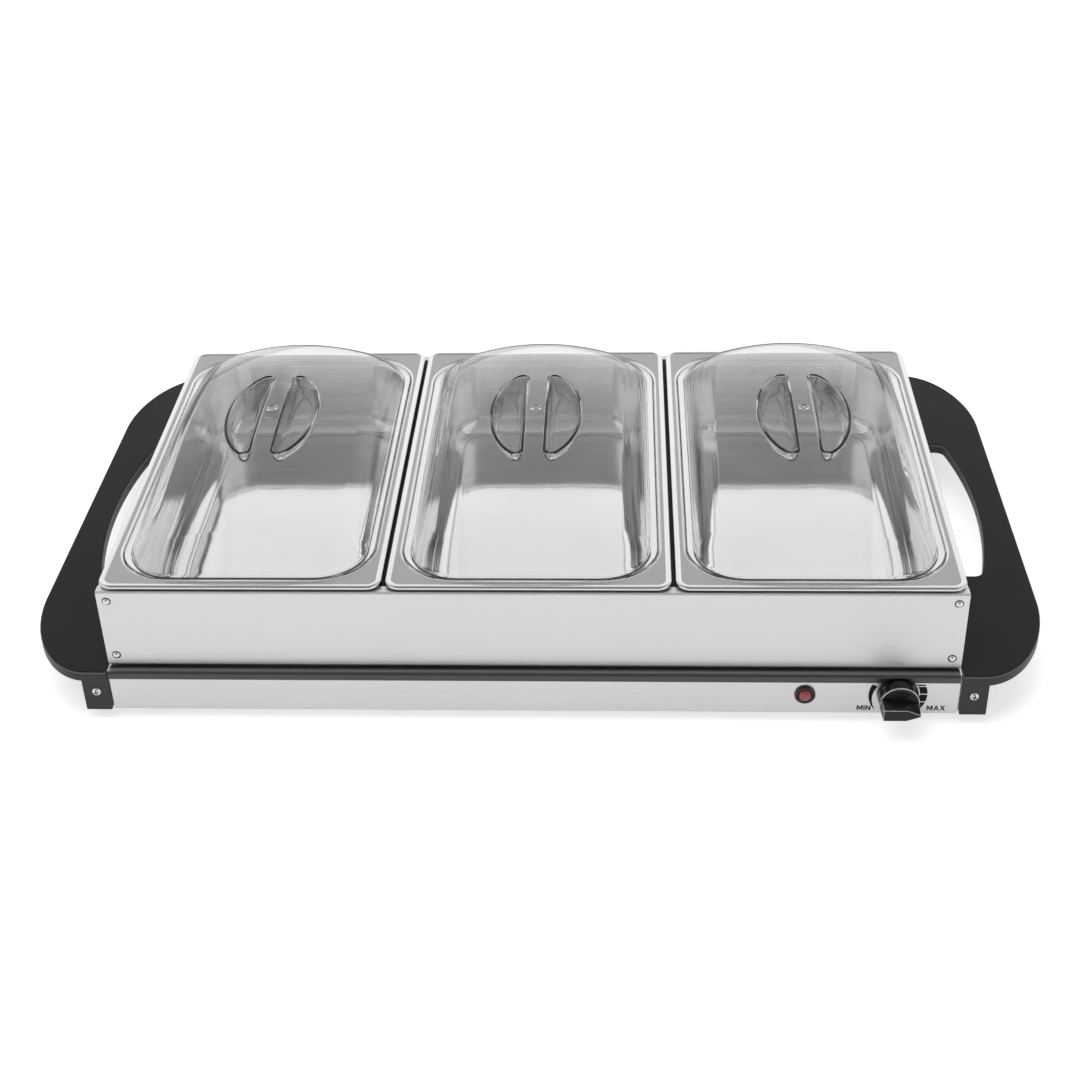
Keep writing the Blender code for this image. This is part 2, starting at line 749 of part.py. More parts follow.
def make_thermostat(looks, base):
    """A capillary-free thermostat held in the front panel by its threaded neck and a nut."""
    back_of_panel = face_y + sheet + seat_gap
    low = (knob_x - thermostat_width / 2, back_of_panel, panel_middle - thermostat_height / 2)
    high = (knob_x + thermostat_width / 2, back_of_panel + thermostat_depth, panel_middle + thermostat_height / 2)
    body = box("thermostat", low, high, looks["ceramic"], base)
    middle = (knob_x, back_of_panel, panel_middle)
    inside = thermostat_depth / 3
    neck = turned("thermostat_neck", [(0, -inside), (thermostat_neck_radius, -inside),
                                      (thermostat_neck_radius, thermostat_neck_length), (0, thermostat_neck_length)],
                  round_sides, parent=base)
    neck.location = middle
    point_along(neck, (0, -1, 0))
    combine(body, neck, "UNION")
    for sign in (-1, 1):
        x = knob_x + sign * thermostat_blade_spread
        blade = box(f"thermostat_blade_{sign}",
                    (x - thermostat_blade_width / 2, high[1] - thermostat_blade_length / 2, panel_middle - sheet / 2),
                    (x + thermostat_blade_width / 2, high[1] + thermostat_blade_length, panel_middle + sheet / 2),
                    parent=base)
        combine(body, blade, "UNION")
    bore = thermostat_neck_length + shaft_tail + seat_gap
    mouth = (knob_x, back_of_panel - thermostat_neck_length, panel_middle)
    cut_hole(body, "thermostat_bore", mouth, shaft_radius + seat_gap, (0, 1, 0), 2 * bore, base)
    return body


def make_nut(plated, base):
    """The hexagonal nut on the thermostat's neck, hidden by the knob."""
    corner = nut_across_flats / math.sqrt(3)
    hexagon = [(knob_x + corner * math.cos(math.radians(60 * step)), panel_middle + corner * math.sin(math.radians(60 * step)))
               for step in range(6)]
    front = face_y - seat_gap
    nut = prism("thermostat_nut", hexagon, front - nut_thickness, front, "Y", plated, base)
    cut_hole(nut, "nut_bore", (knob_x, front, panel_middle), thermostat_neck_radius + seat_gap,
             (0, 1, 0), 3 * nut_thickness, base, round_sides)
    return nut


def make_shaft(plated, knob_axis):
    """The thermostat's shaft, with a flat along the stretch that the knob grips."""
    profile = [(0, -shaft_tail), (shaft_radius, -shaft_tail), (shaft_radius, shaft_length - shaft_tail),
               (0, shaft_length - shaft_tail)]
    shaft = turned("thermostat_shaft", profile, round_sides, plated, knob_axis)
    shaft.location = (0, sheet + seat_gap, 0)
    point_along(shaft, (0, -1, 0))
    start = thermostat_neck_length - sheet
    flat = box("shaft_flat", (-2 * shaft_radius, -shaft_length, shaft_radius - shaft_flat),
               (2 * shaft_radius, -start, 2 * shaft_radius), parent=knob_axis)
    combine(shaft, flat, "DIFFERENCE")
    return shaft


def make_knob(plastic, knob_axis):
    """A skirted knob with a raised grip bar whose nose is the pointer."""
    start = knob_clearance
    front = start + knob_skirt_length
    front_radius = knob_radius - knob_taper
    profile = [(0, start), (knob_radius, start), (front_radius, front - knob_edge_round),
               (front_radius - knob_edge_round * 0.3, front - knob_edge_round * 0.3),
               (front_radius - knob_edge_round, front), (0, front)]
    knob = turned("control_knob", profile, knob_sides, plastic, knob_axis)
    point_along(knob, (0, -1, 0))
    combine(knob, grip_bar_solid(front, knob_axis), "UNION")
    cavity_radius = knob_radius - knob_taper - knob_wall
    cavity_depth = knob_skirt_length - knob_wall
    cavity = turned("knob_cavity", [
        (0, start + knob_hub_depth), (knob_hub_radius, start + knob_hub_depth), (knob_hub_radius, start + cavity_depth),
        (cavity_radius, start + cavity_depth), (cavity_radius, start - overrun), (0, start - overrun),
    ], knob_sides, parent=knob_axis)
    point_along(cavity, (0, -1, 0))
    combine(knob, cavity, "DIFFERENCE")
    bore_end = shaft_length - shaft_tail - sheet
    combine(knob, shaft_bore(start, bore_end, knob_axis), "DIFFERENCE")
    return knob


def grip_bar_solid(front, knob_axis):
    """The bar across the knob: square at its tail, tapered to a nose at its other end."""
    half = bar_thickness / 2
    tail = -bar_length / 2
    nose = bar_length / 2
    shoulder = nose - bar_nose_length
    outline = [(tail, -half), (shoulder, -half), (nose, -bar_nose_tip / 2), (nose, bar_nose_tip / 2), (shoulder, half), (tail, half)]
    levels = ((knob_wall / 2 - knob_wall, 1.0), (bar_height - knob_edge_round, 0.97), (bar_height, 0.88))
    rings = [[(x * share, -(front + level), z * share) for x, z in outline] for level, share in levels]
    return loft("knob_bar", rings, parent=knob_axis)


def shaft_bore(start, finish, knob_axis):
    """The knob's bore, with a flat that seats on the shaft's."""
    radius = shaft_radius + seat_gap
    flat = shaft_radius - shaft_flat + seat_gap
    outline = []
    for step in range(round_sides):
        turn = 2 * math.pi * step / round_sides
        outline.append((radius * math.cos(turn), min(radius * math.sin(turn), flat)))
    return prism("knob_bore", outline, -finish, -start + overrun, "Y", parent=knob_axis)


# Indicator lamp

def make_lamp(looks, base):
    """A red lens in front of the panel and the lamp's holder behind it."""
    place = (lamp_x, face_y, panel_middle)
    lens = turned("indicator_lens", [
        (0, -lens_stem_length), (lens_stem_radius, -lens_stem_length), (lens_stem_radius, seat_gap),
        (lens_flange_radius, seat_gap), (lens_flange_radius, lens_flange_thickness * 0.5),
        (lens_flange_radius - lens_flange_thickness * 0.4, lens_flange_thickness),
        (lens_dome_radius, lens_flange_thickness),
        (lens_dome_radius * 0.86, lens_flange_thickness + lens_dome_height * 0.55),
        (lens_dome_radius * 0.5, lens_flange_thickness + lens_dome_height * 0.9),
        (0, lens_flange_thickness + lens_dome_height),
    ], round_sides, looks["lens"], base)
    lens.location = place
    point_along(lens, (0, -1, 0))
    inner = lens_stem_radius + seat_gap
    holder = turned("indicator_holder", [
        (0, -lamp_body_length), (lamp_body_radius, -lamp_body_length), (lamp_body_radius, -sheet - seat_gap),
        (inner, -sheet - seat_gap), (inner, -lens_stem_length - seat_gap),
        (0, -lens_stem_length - seat_gap),
    ], round_sides, looks["knob"], base)
    holder.location = place
    point_along(holder, (0, -1, 0))


# Wiring

def make_gland(plastic, base):
    """The supply inlet in the back panel."""
    place = (gland_x, -face_y, panel_middle)
    gland = turned("cable_gland", [
        (0, -gland_neck_length), (gland_neck_radius, -gland_neck_length), (gland_neck_radius, seat_gap),
        (gland_radius, seat_gap), (gland_radius, gland_flange), (gland_neck_radius, gland_flange),
        (gland_neck_radius * 0.85, gland_reach), (gland_bore_radius, gland_reach),
        (gland_bore_radius, -gland_neck_length / 2), (0, -gland_neck_length / 2),
    ], round_sides, plastic, base)
    gland.location = place
    point_along(gland, (0, 1, 0))


def make_terminals(looks, base):
    """The terminal block on the bottom cover and the thermal fuse in front of it."""
    floor = cover_bottom + sheet + seat_gap
    left, right = terminal_x - terminal_length / 2, terminal_x + terminal_length / 2
    front, back = terminal_y - terminal_depth / 2, terminal_y + terminal_depth / 2
    shoulder = terminal_height - terminal_step
    outline = [(front, floor), (back, floor), (back, floor + shoulder), (back - terminal_step, floor + terminal_height),
               (front + terminal_step, floor + terminal_height), (front, floor + shoulder)]
    block = prism("terminal_block", outline, left, right, "X", looks["ceramic"], base)
    for index in range(1, terminal_ways):
        x = left + terminal_length * index / terminal_ways
        groove = box(f"terminal_groove_{index}", (x - sheet, front - overrun, floor + shoulder),
                     (x + sheet, back + overrun, floor + terminal_height + overrun), parent=base)
        combine(block, groove, "DIFFERENCE")
    return block


def arch(start, finish, steps=7):
    """Points of a lead that leaves and arrives square to the front and swings over between its ends."""
    stretch = math.copysign(2 * lead_radius, finish[1] - start[1])
    points = [start]
    for step in range(steps + 1):
        share = step / steps
        ease = share * share * (3 - 2 * share)
        points.append((
            start[0] + (finish[0] - start[0]) * ease,
            start[1] + stretch + (finish[1] - start[1] - 2 * stretch) * share,
            start[2] + (finish[2] - start[2]) * ease,
        ))
    points.append(finish)
    return points


def make_wiring(looks, base):
    """The leads between the inlet, terminal block, thermostat, element, fuse and lamp."""
    floor = cover_bottom + sheet + seat_gap
    clip_z = floor + (terminal_height - terminal_step) / 2
    block_front = terminal_y - terminal_depth / 2 - seat_gap
    block_back = terminal_y + terminal_depth / 2 + seat_gap
    way = terminal_length / terminal_ways
    blade_y = face_y + sheet + seat_gap + thermostat_depth + thermostat_blade_length + seat_gap
    row = element_pitch * (element_runs - 1) / 2
    gland_end = -face_y - gland_neck_length - seat_gap
    fuse_y = row - element_pitch / 2
    tube("lead_supply", arch((gland_x, gland_end, panel_middle), (terminal_x, block_back, clip_z)),
         lead_radius, looks["lead"], base)
    tube("lead_thermostat", arch((terminal_x + way, block_front, clip_z),
                                 (knob_x + thermostat_blade_spread, blade_y, panel_middle), 12),
         lead_radius, looks["lead"], base)
    element_tip = element_end + seat_gap
    bend = element_tip + element_pitch / 3
    tube("lead_element", [(element_tip, -row, element_z), (bend, -row, element_z)]
         + arch((bend + lead_radius, -row - lead_radius, element_z),
                (knob_x - thermostat_blade_spread, blade_y, panel_middle), 6),
         lead_radius, looks["lead"], base)
    fuse = turned("thermal_fuse", [(0, 0), (lead_radius, 0), (fuse_radius, fuse_radius), (fuse_radius, fuse_length - fuse_radius),
                                   (lead_radius, fuse_length), (0, fuse_length)], small_sides, looks["screw"], base)
    fuse.location = (fuse_x, fuse_y, element_z)
    point_along(fuse, (0, 1, 0))
    tube("lead_fuse", [(element_tip, row, element_z), (bend, row, element_z)]
         + arch((bend + lead_radius, row - lead_radius, element_z),
                (fuse_x, fuse_y + fuse_length + seat_gap, element_z), 4),
         lead_radius, looks["lead"], base)


def make_base(looks):
    base = empty_at("base_middle", (0, base_y, 0))
    front = make_front_or_back(-1, looks["steel"], base)
    back = make_front_or_back(1, looks["steel"], base)
    drill = 4 * sheet
    neck_hole = thermostat_neck_radius + seat_gap
    cut_hole(front, "neck_hole", (knob_x, face_y, panel_middle), neck_hole, (0, 1, 0), drill, base, round_sides)
    lens_hole = lens_stem_radius + seat_gap
    cut_hole(front, "lens_hole", (lamp_x, face_y, panel_middle), lens_hole, (0, 1, 0), drill, base, round_sides)
    gland_hole = gland_neck_radius + seat_gap
    cut_hole(back, "gland_hole", (gland_x, -face_y, panel_middle), gland_hole, (0, 1, 0), drill, base, round_sides)
    for side in (-1, 1):
        make_end_wall(side, looks["steel"], base)
        make_handle(side, looks["handle"], base)
    make_warming_plate(looks["steel"], base)
    make_bottom_cover(looks["inner"], base)
    make_feet(looks["rubber"], looks["screw"], base)
    make_handle_screws(looks["screw"], base)
    make_heater(looks, base)
    make_thermostat(looks, base)
    make_nut(looks["screw"], base)
    make_lamp(looks, base)
    make_gland(looks["handle"], base)
    make_terminals(looks, base)
    make_wiring(looks, base)
    knob_axis = empty_at("knob_axis", (knob_x, face_y, panel_middle), base)
    make_shaft(looks["screw"], knob_axis)
    make_knob(looks["knob"], knob_axis)


# Buffet frame

def rivet_places():
    return [(side, level) for side in (-1, 1) for level in (rivet_inset_bottom, frame_height - rivet_inset_top)]


def make_frame_face(end, steel, frame):
    """A long side of the frame, with its inward top flange and bottom hem."""
    face = end * frame_depth / 2
    half = frame_length / 2
    path = [(face - end * frame_flange, frame_height), (face, frame_height), (face, 0), (face - end * frame_hem, 0)]
    panel = folded(f"frame_{end_names[end]}", path, -end * frame_sheet, -half, half, "X", steel, frame)
    clear = frame_sheet + seat_gap
    for side in (-1, 1):
        across = sorted((side * (half - clear), side * (half + overrun)))
        along = sorted((face - end * clear, face - end * (frame_hem + overrun)))
        notch = box(f"{panel.name}_notch_{side}", (across[0], along[0], -overrun), (across[1], along[1], clear), parent=frame)
        combine(panel, notch, "DIFFERENCE")
    drill_rivet_holes(panel, end, frame)
    return panel


def drill_rivet_holes(panel, end, frame):
    for side, level in rivet_places():
        place = (side * (frame_length / 2 - rivet_inset_x), end * frame_depth / 2, level)
        cut_hole(panel, f"{panel.name}_rivet_hole_{end}_{side}_{level / frame_height:.2f}", place,
                 rivet_radius + seat_gap, (0, 1, 0), 8 * frame_sheet, frame)


def make_frame_side(side, steel, frame):
    """A short side of the frame, with tabs folded in behind the long sides."""
    outer = side * frame_length / 2
    reach = frame_depth / 2 - frame_sheet - seat_gap
    path = [(outer - side * frame_flange, frame_height), (outer, frame_height), (outer, 0), (outer - side * frame_hem, 0)]
    panel = folded(f"frame_{side_names[side]}", path, side * -frame_sheet, -reach, reach, "Y", steel, frame)
    clear = frame_sheet + seat_gap
    for end in (-1, 1):
        along = sorted((end * reach, end * (reach - frame_sheet)))
        across = sorted((outer - side * frame_sheet / 2, outer - side * frame_tab))
        tab = box(f"{panel.name}_tab_{end}", (across[0], along[0], clear), (across[1], along[1], frame_height - clear), parent=frame)
        combine(panel, tab, "UNION")
        wide = sorted((outer + side * overrun, outer - side * (frame_flange + overrun)))
        top = sorted((end * (frame_depth / 2 - frame_flange - seat_gap), end * frame_depth / 2))
        notch = box(f"{panel.name}_top_notch_{end}", (wide[0], top[0], frame_height - clear),
                    (wide[1], top[1], frame_height + overrun), parent=frame)
        combine(panel, notch, "DIFFERENCE")
        inside = sorted((outer - side * clear, outer - side * (frame_hem + overrun)))
        low = sorted((end * (frame_depth / 2 - frame_hem - seat_gap), end * frame_depth / 2))
        foot = box(f"{panel.name}_hem_notch_{end}", (inside[0], low[0], -overrun), (inside[1], low[1], clear), parent=frame)
        combine(panel, foot, "DIFFERENCE")
        drill_rivet_holes(panel, end, frame)
    return panel


def make_cross_rail(index, steel, frame):
    """A channel between two pans, its ends tucked under the long sides' flanges."""
    middle = (index - (pan_count - 2) / 2) * pan_pitch
    half = pan_margin_side + pan_spacing / 2 - rail_side_clearance
    top = frame_height - frame_sheet - seat_gap
    reach = frame_depth / 2 - frame_sheet - seat_gap
    path = [(middle - half, top - rail_leg), (middle - half, top), (middle + half, top), (middle + half, top - rail_leg)]
    return folded(f"cross_rail_{('left', 'right')[index]}", path, -frame_sheet, -reach, reach, "Y", steel, frame)


def make_rivets(plated, frame):
    tail = 2 * frame_sheet + 2 * seat_gap
    head = rivet_head_height
    profile = [
        (0, head), (rivet_head_radius * 0.5, head * 0.92), (rivet_head_radius * 0.87, head * 0.55),
        (rivet_head_radius, 0), (rivet_radius, 0), (rivet_radius, -tail - seat_gap),
        (rivet_radius + seat_gap * 2, -tail - seat_gap), (rivet_radius, -tail - head), (0, -tail - head),
    ]
    for end in (-1, 1):
        for side, level in rivet_places():
            height = "low" if level < frame_height / 2 else "high"
            item = turned(f"rivet_{end_names[end]}_{side_names[side]}_{height}", profile, rivet_sides, plated, frame)
            item.location = (side * (frame_length / 2 - rivet_inset_x), end * (frame_depth / 2 + seat_gap), level)
            point_along(item, (0, end, 0))


def make_frame(looks):
    frame = empty_at("frame_lift_axis", (0, frame_y, frame_bottom))
    for sign in (-1, 1):
        make_frame_face(sign, looks["steel"], frame)
        make_frame_side(sign, looks["steel"], frame)
    for index in range(pan_count - 1):
        make_cross_rail(index, looks["steel"], frame)
    make_rivets(looks["screw"], frame)


# Pans

def pan_ring(inset, height):
    """An outline of the pan's bowl, drawn in from the opening's edge."""
    return at_height(rounded_outline(opening_half_x - inset, opening_half_y - inset, pan_opening_radius - inset), height)


def rim_ring(inset, height):
    """An outline of the pan's rim, drawn in from its outer edge."""
    return at_height(rounded_outline(pan_half_x - inset, pan_half_y - inset, pan_rim_radius - inset), height)


def bowl_rings(skin):
    """The bowl from its floor up to the ledge; skin is how far it lies inside the outer surface."""
    radius = pan_floor_radius - skin
    floor_inset = pan_ledge + pan_draft + pan_floor_radius
    rings = [pan_ring(floor_inset, -pan_depth + skin)]
    for across, up in arc_shares(pan_radius_steps)[1:]:
        rings.append(pan_ring(floor_inset - radius * across, -pan_depth + skin + radius * up))
    return rings


def make_pan(name, steel, axis):
    """A drawn pan: floor, drafted wall, lid ledge, flat flange and rolled rim, in one skin."""
    skin = pan_sheet
    lift = pan_step_round * (1 - math.cos(math.pi / 4))
    under = bowl_rings(0)
    under.append(pan_ring(pan_ledge, ledge_z - skin))
    under.append(pan_ring(-skin, ledge_z - skin))
    under.append(pan_ring(-skin, pan_rim_top - skin))
    under.append(rim_ring(skin, pan_rim_top - skin))
    under.append(rim_ring(skin, seat_gap))
    rim = [
        rim_ring(0, seat_gap), rim_ring(0, pan_rim_top - pan_rim_round), rim_ring(lift, pan_rim_top - lift),
        rim_ring(pan_rim_round, pan_rim_top),
    ]
    over = [
        pan_ring(-pan_step_round, pan_rim_top), pan_ring(-lift, pan_rim_top - lift),
        pan_ring(0, pan_rim_top - pan_step_round), pan_ring(0, ledge_z),
        pan_ring(pan_ledge, ledge_z), pan_ring(pan_ledge + skin, ledge_z - pan_step_round),
    ]
    inside = bowl_rings(skin)[::-1]
    return loft(name, under + rim + over + inside, steel, axis, smooth=True)


# Lids

def crown(x, y):
    return lid_rise - x * x / (2 * lid_crown_radius_x) - y * y / (2 * lid_crown_radius_y)


def lid_outline(inset):
    half_x = opening_half_x - lid_clearance - inset
    half_y = opening_half_y - lid_clearance - inset
    radius = pan_opening_radius - lid_clearance - inset
    return rounded_outline(half_x, half_y, radius, short_side_steps, long_side_steps)


def dome_rings(foot_inset, foot_height, drop, shoulder_shares, crown_shares):
    """A dome's rings from its foot to its middle, all drop below the crown."""
    rings = []
    for share in shoulder_shares:
        rise = math.sqrt(1 - (1 - share) ** 2)
        outline = lid_outline(foot_inset + lid_shoulder * share)
        rings.append([(x, y, foot_height + (crown(x, y) - drop - foot_height) * rise) for x, y in outline])
    edge = lid_outline(foot_inset + lid_shoulder)
    for share in crown_shares:
        rings.append([(x * share, y * share, crown(x * share, y * share) - drop) for x, y in edge])
    rings.append([(0, 0, crown(0, 0) - drop)])
    return rings


def pocket_outline(side, growth):
    """A half-moon: a straight edge beside the bar and an elliptical outer edge."""
    inner = grip_bar / 2 - growth
    size_x, size_y = grip_width / 2 + growth, grip_length / 2 + growth
    limit = math.acos(inner / size_x)
    turns = [-limit + 2 * limit * step / pocket_steps for step in range(pocket_steps + 1)]
    outline = [(size_x * math.cos(turn), size_y * math.sin(turn)) for turn in turns]
    start, finish = outline[-1][1], outline[0][1]
    outline += [(inner, start + (finish - start) * step / pocket_edge_steps) for step in range(1, pocket_edge_steps)]
    return mirrored(outline, side)


def make_lid(name, plastic, axis):
    """A domed lid, hollow below, with two finger pockets sunk either side of a grip bar."""
    outer = dome_rings(lid_flange, lid_wall, 0, lid_shoulder_shares, lid_crown_shares)
    inner = dome_rings(lid_flange + lid_wall, 0, lid_wall, lid_inner_shoulder_shares, lid_inner_crown_shares)
    rings = inner[::-1] + [at_height(lid_outline(0), 0), at_height(lid_outline(0), lid_wall)] + outer
    lid = loft(name, rings, plastic, axis, smooth=True)
    floor = crown(0, 0) - pocket_depth
    for side in (-1, 1):
        shell = [at_height(pocket_outline(side, lid_wall - pocket_draft), floor - lid_wall)]
        mouth = pocket_outline(side, lid_wall)
        shell.append([(x, y, crown(x, y) - lid_wall / 2) for x, y in mouth])
        combine(lid, loft(f"{name}_pocket_shell_{side}", shell, parent=axis), "UNION")
    for side in (-1, 1):
        top = crown(0, 0) + overrun
        slope = pocket_draft * (top - floor) / pocket_depth
        void = [at_height(pocket_outline(side, -pocket_draft), floor),
                at_height(pocket_outline(side, slope - pocket_draft), top)]
        combine(lid, loft(f"{name}_pocket_void_{side}", void, parent=axis), "DIFFERENCE")
    return lid


def make_pans_and_lids(looks):
    for index, label in enumerate(pan_names):
        x = (index - (pan_count - 1) / 2) * pan_pitch
        pan_axis = empty_at(f"pan_{label}_lift_axis", (x, frame_y, frame_top))
        make_pan(f"pan_{label}", looks["pan"], pan_axis)
        lid_axis = empty_at(f"lid_{label}_lift_axis", (x, frame_y, lid_z))
        make_lid(f"lid_{label}", looks["clear"], lid_axis)


def main():
    clear_scene()
    looks = make_surfaces()
    make_base(looks)
    make_frame(looks)
    make_pans_and_lids(looks)


main()
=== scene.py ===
from math import acos, atan2, copysign, cos, degrees, hypot, pi, radians, sin, sqrt, tan

import bmesh
import bpy
import numpy as np
from mathutils import Matrix, Vector, geometry


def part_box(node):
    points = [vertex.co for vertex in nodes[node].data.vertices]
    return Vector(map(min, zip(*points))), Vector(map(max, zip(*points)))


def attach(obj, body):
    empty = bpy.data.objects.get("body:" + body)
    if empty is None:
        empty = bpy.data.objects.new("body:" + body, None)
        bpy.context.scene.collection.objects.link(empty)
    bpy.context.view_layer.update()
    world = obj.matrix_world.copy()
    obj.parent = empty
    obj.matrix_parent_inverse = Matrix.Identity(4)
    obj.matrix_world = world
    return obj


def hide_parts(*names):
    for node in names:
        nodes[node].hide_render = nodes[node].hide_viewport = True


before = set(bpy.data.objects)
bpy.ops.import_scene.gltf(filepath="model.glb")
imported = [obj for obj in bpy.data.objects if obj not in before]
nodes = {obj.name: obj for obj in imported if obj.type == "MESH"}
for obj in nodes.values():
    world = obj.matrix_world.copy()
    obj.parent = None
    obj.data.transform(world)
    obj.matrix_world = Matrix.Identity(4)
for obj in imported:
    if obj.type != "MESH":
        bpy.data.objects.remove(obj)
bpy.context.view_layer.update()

mm = 0.001
sides = {"left": -1, "right": 1}
ends = {"front": -1, "back": 1}
panNames = ("left", "centre", "right")


def middleOf(node):
    low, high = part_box(node)
    return (low + high) / 2


def addObject(name, data):
    item = bpy.data.objects.new(name, data)
    bpy.context.scene.collection.objects.link(item)
    return item


# camera: stands where the photograph's camera stood

camera = {
    "place": (0.0546, -1.0234, 0.6911),
    "pitch": 33.29,  # degrees below level
    "yaw": -3.39,
    "roll": -1.80,
    "lens": 59.14,
    "sensor": 36.0,
}


def makeCamera():
    pitch, yaw, roll = (radians(camera[key]) for key in ("pitch", "yaw", "roll"))
    forward = Vector((sin(yaw) * cos(pitch), cos(yaw) * cos(pitch), -sin(pitch)))
    level = Vector((cos(yaw), -sin(yaw), 0))
    upright = level.cross(forward)
    right = level * cos(roll) + upright * sin(roll)
    up = upright * cos(roll) - level * sin(roll)
    data = bpy.data.cameras.new("photo_camera")
    data.lens = camera["lens"]
    data.sensor_width = camera["sensor"]
    item = addObject("photo_camera", data)
    item.matrix_world = Matrix.Translation(camera["place"]) @ Matrix((right, up, -forward)).transposed().to_4x4()
    bpy.context.scene.camera = item


makeCamera()
print("camera ready")


# shader writing: a wire is one output of a node and can be put in sums

class Wire:
    def __init__(self, maker, socket):
        self.maker = maker
        self.socket = socket

    def sum(self, operation, other=0.0, flipped=False):
        pair = (other, self) if flipped else (self, other)
        return self.maker.add("ShaderNodeMath", {"operation": operation}, {0: pair[0], 1: pair[1]})

    def __add__(self, other): return self.sum("ADD", other)
    def __radd__(self, other): return self.sum("ADD", other, True)
    def __sub__(self, other): return self.sum("SUBTRACT", other)
    def __rsub__(self, other): return self.sum("SUBTRACT", other, True)
    def __mul__(self, other): return self.sum("MULTIPLY", other)


class Maker:
    # writes one node tree: add() takes a node's type, its settings, then its sockets
    def __init__(self, tree):
        self.tree = tree

    def add(self, kind, settings=None, sockets=None, out=0):
        node = self.tree.nodes.new(kind)
        for key, value in (settings or {}).items():
            if key == "stops":
                ramp = node.color_ramp
                while len(ramp.elements) < len(value):
                    ramp.elements.new(0.5)
                for element, (place, level) in zip(ramp.elements, value):
                    element.position = place
                    element.color = (level, level, level, 1) if isinstance(level, (int, float)) else (*level, 1)
            else:
                setattr(node, key, value)
        for key, value in (sockets or {}).items():
            self.feed(node.inputs[key], value)
        return Wire(self, node.outputs[out])

    def feed(self, socket, value):
        if isinstance(value, Wire):
            self.tree.links.new(value.socket, socket)
        elif socket.type == "RGBA" and len(value) == 3:
            socket.default_value = (*value, 1)
        else:
            socket.default_value = value

    def outputs(self, kind, names, sockets=None):
        node = self.add(kind, None, sockets).socket.node
        return [Wire(self, node.outputs[name]) for name in names]

    def axes(self, space="Object"):
        # the three coordinates of a point, in metres for an object
        where = self.add("ShaderNodeTexCoord", out=space)
        return self.outputs("ShaderNodeSeparateXYZ", "XYZ", {"Vector": where})

    def rays(self):
        # whether a ray comes from the camera, and whether it comes from a gloss or glass surface
        eye, gloss, glass = self.outputs("ShaderNodeLightPath", ("Is Camera Ray", "Is Glossy Ray", "Is Transmission Ray"))
        return eye, gloss.sum("MAXIMUM", glass)

    def place(self, stretch=(1, 1, 1)):
        # object coordinates in metres, stretched by a scale for each axis
        where = self.add("ShaderNodeTexCoord", out="Object")
        return self.add("ShaderNodeMapping", None, {"Vector": where, "Scale": stretch})

    def noise(self, scale, detail=2.0, roughness=0.5, stretch=(1, 1, 1)):
        settings = {"Vector": self.place(stretch), "Scale": scale, "Detail": detail, "Roughness": roughness}
        return self.add("ShaderNodeTexNoise", None, settings)

    def ramp(self, value, stops, smooth=False):
        node = self.add("ShaderNodeValToRGB", {"stops": stops}, {"Fac": value})
        node.socket.node.color_ramp.interpolation = "EASE" if smooth else "LINEAR"
        return node

    def blend(self, share, first, second):
        return self.add("ShaderNodeMix", {"data_type": "RGBA"}, {"Factor": share, 6: first, 7: second}, out=2)

    def bump(self, height, strength, distance, normal=None):
        sockets = {"Height": height, "Strength": strength, "Distance": distance}
        if normal:
            sockets["Normal"] = normal
        return self.add("ShaderNodeBump", None, sockets)


class Finish(Maker):
    # a Principled material; values go to its own sockets, whose names are written with underscores
    def __init__(self, name, **fixed):
        self.material = bpy.data.materials.new(name)
        self.material.use_nodes = True
        super().__init__(self.material.node_tree)
        self.dress(**fixed)

    def dress(self, **values):
        skin = self.tree.nodes["Principled BSDF"]
        for key, value in values.items():
            self.feed(skin.inputs[key.replace("_", " ")], value)
        return self.material


# finishes: in every dict, stops are pairs of a ramp's place and its tone

satin = {
    "fine": 900,  # polishing lines to the metre across the grain, and along it
    "long": 9,
    "cloud": 9.0,
    "toneSpread": 0.012,
    "lineRough": 0.10,
    "cloudRough": 0.05,
    # painted shade: tones of the deck's front ledge, in bands over its first 8 mm
    "ledge": [(0.0, 0.10), (0.128, 0.16), (0.288, 0.40), (0.416, 0.26), (0.64, 0.12)],  # places in centimetres
    "ledgeEnd": 0.8,
}


def sheetSteel(name, grain, tint=0.77, rough=0.29, metal=1.0, ledge=None):
    # satin stainless sheet, its polishing lines drawn along one axis; a ledge that starts at a depth is left darker, as
    # painted shade
    maker = Finish(name, Metallic=metal)
    lines = maker.noise(1.0, 3.0, 0.6, [satin["long" if axis == grain else "fine"] for axis in "XYZ"])
    cloud = maker.noise(satin["cloud"], 3.0)
    tone = maker.ramp(cloud, [(0.3, tint - satin["toneSpread"]), (0.7, tint + satin["toneSpread"])])
    if ledge is not None:
        # painted shade on the ledge in front of the frame
        depth, end = (maker.axes()[1] - ledge) * 100, satin["ledgeEnd"]
        shade = maker.ramp(depth, satin["ledge"] + [(end, tint)])
        tone = maker.blend(maker.ramp(depth, [(end - 0.02, 0.0), (end + 0.02, 1.0)]), shade, tone)
    roughness = rough + (lines - 0.5) * satin["lineRough"] + (cloud - 0.5) * satin["cloudRough"]
    wave = maker.bump(maker.noise(7.0, 1.0), 0.10, 0.002)
    return maker.dress(Base_Color=tone, Roughness=roughness, Normal=maker.bump(lines, 0.045, 0.0004, wave))


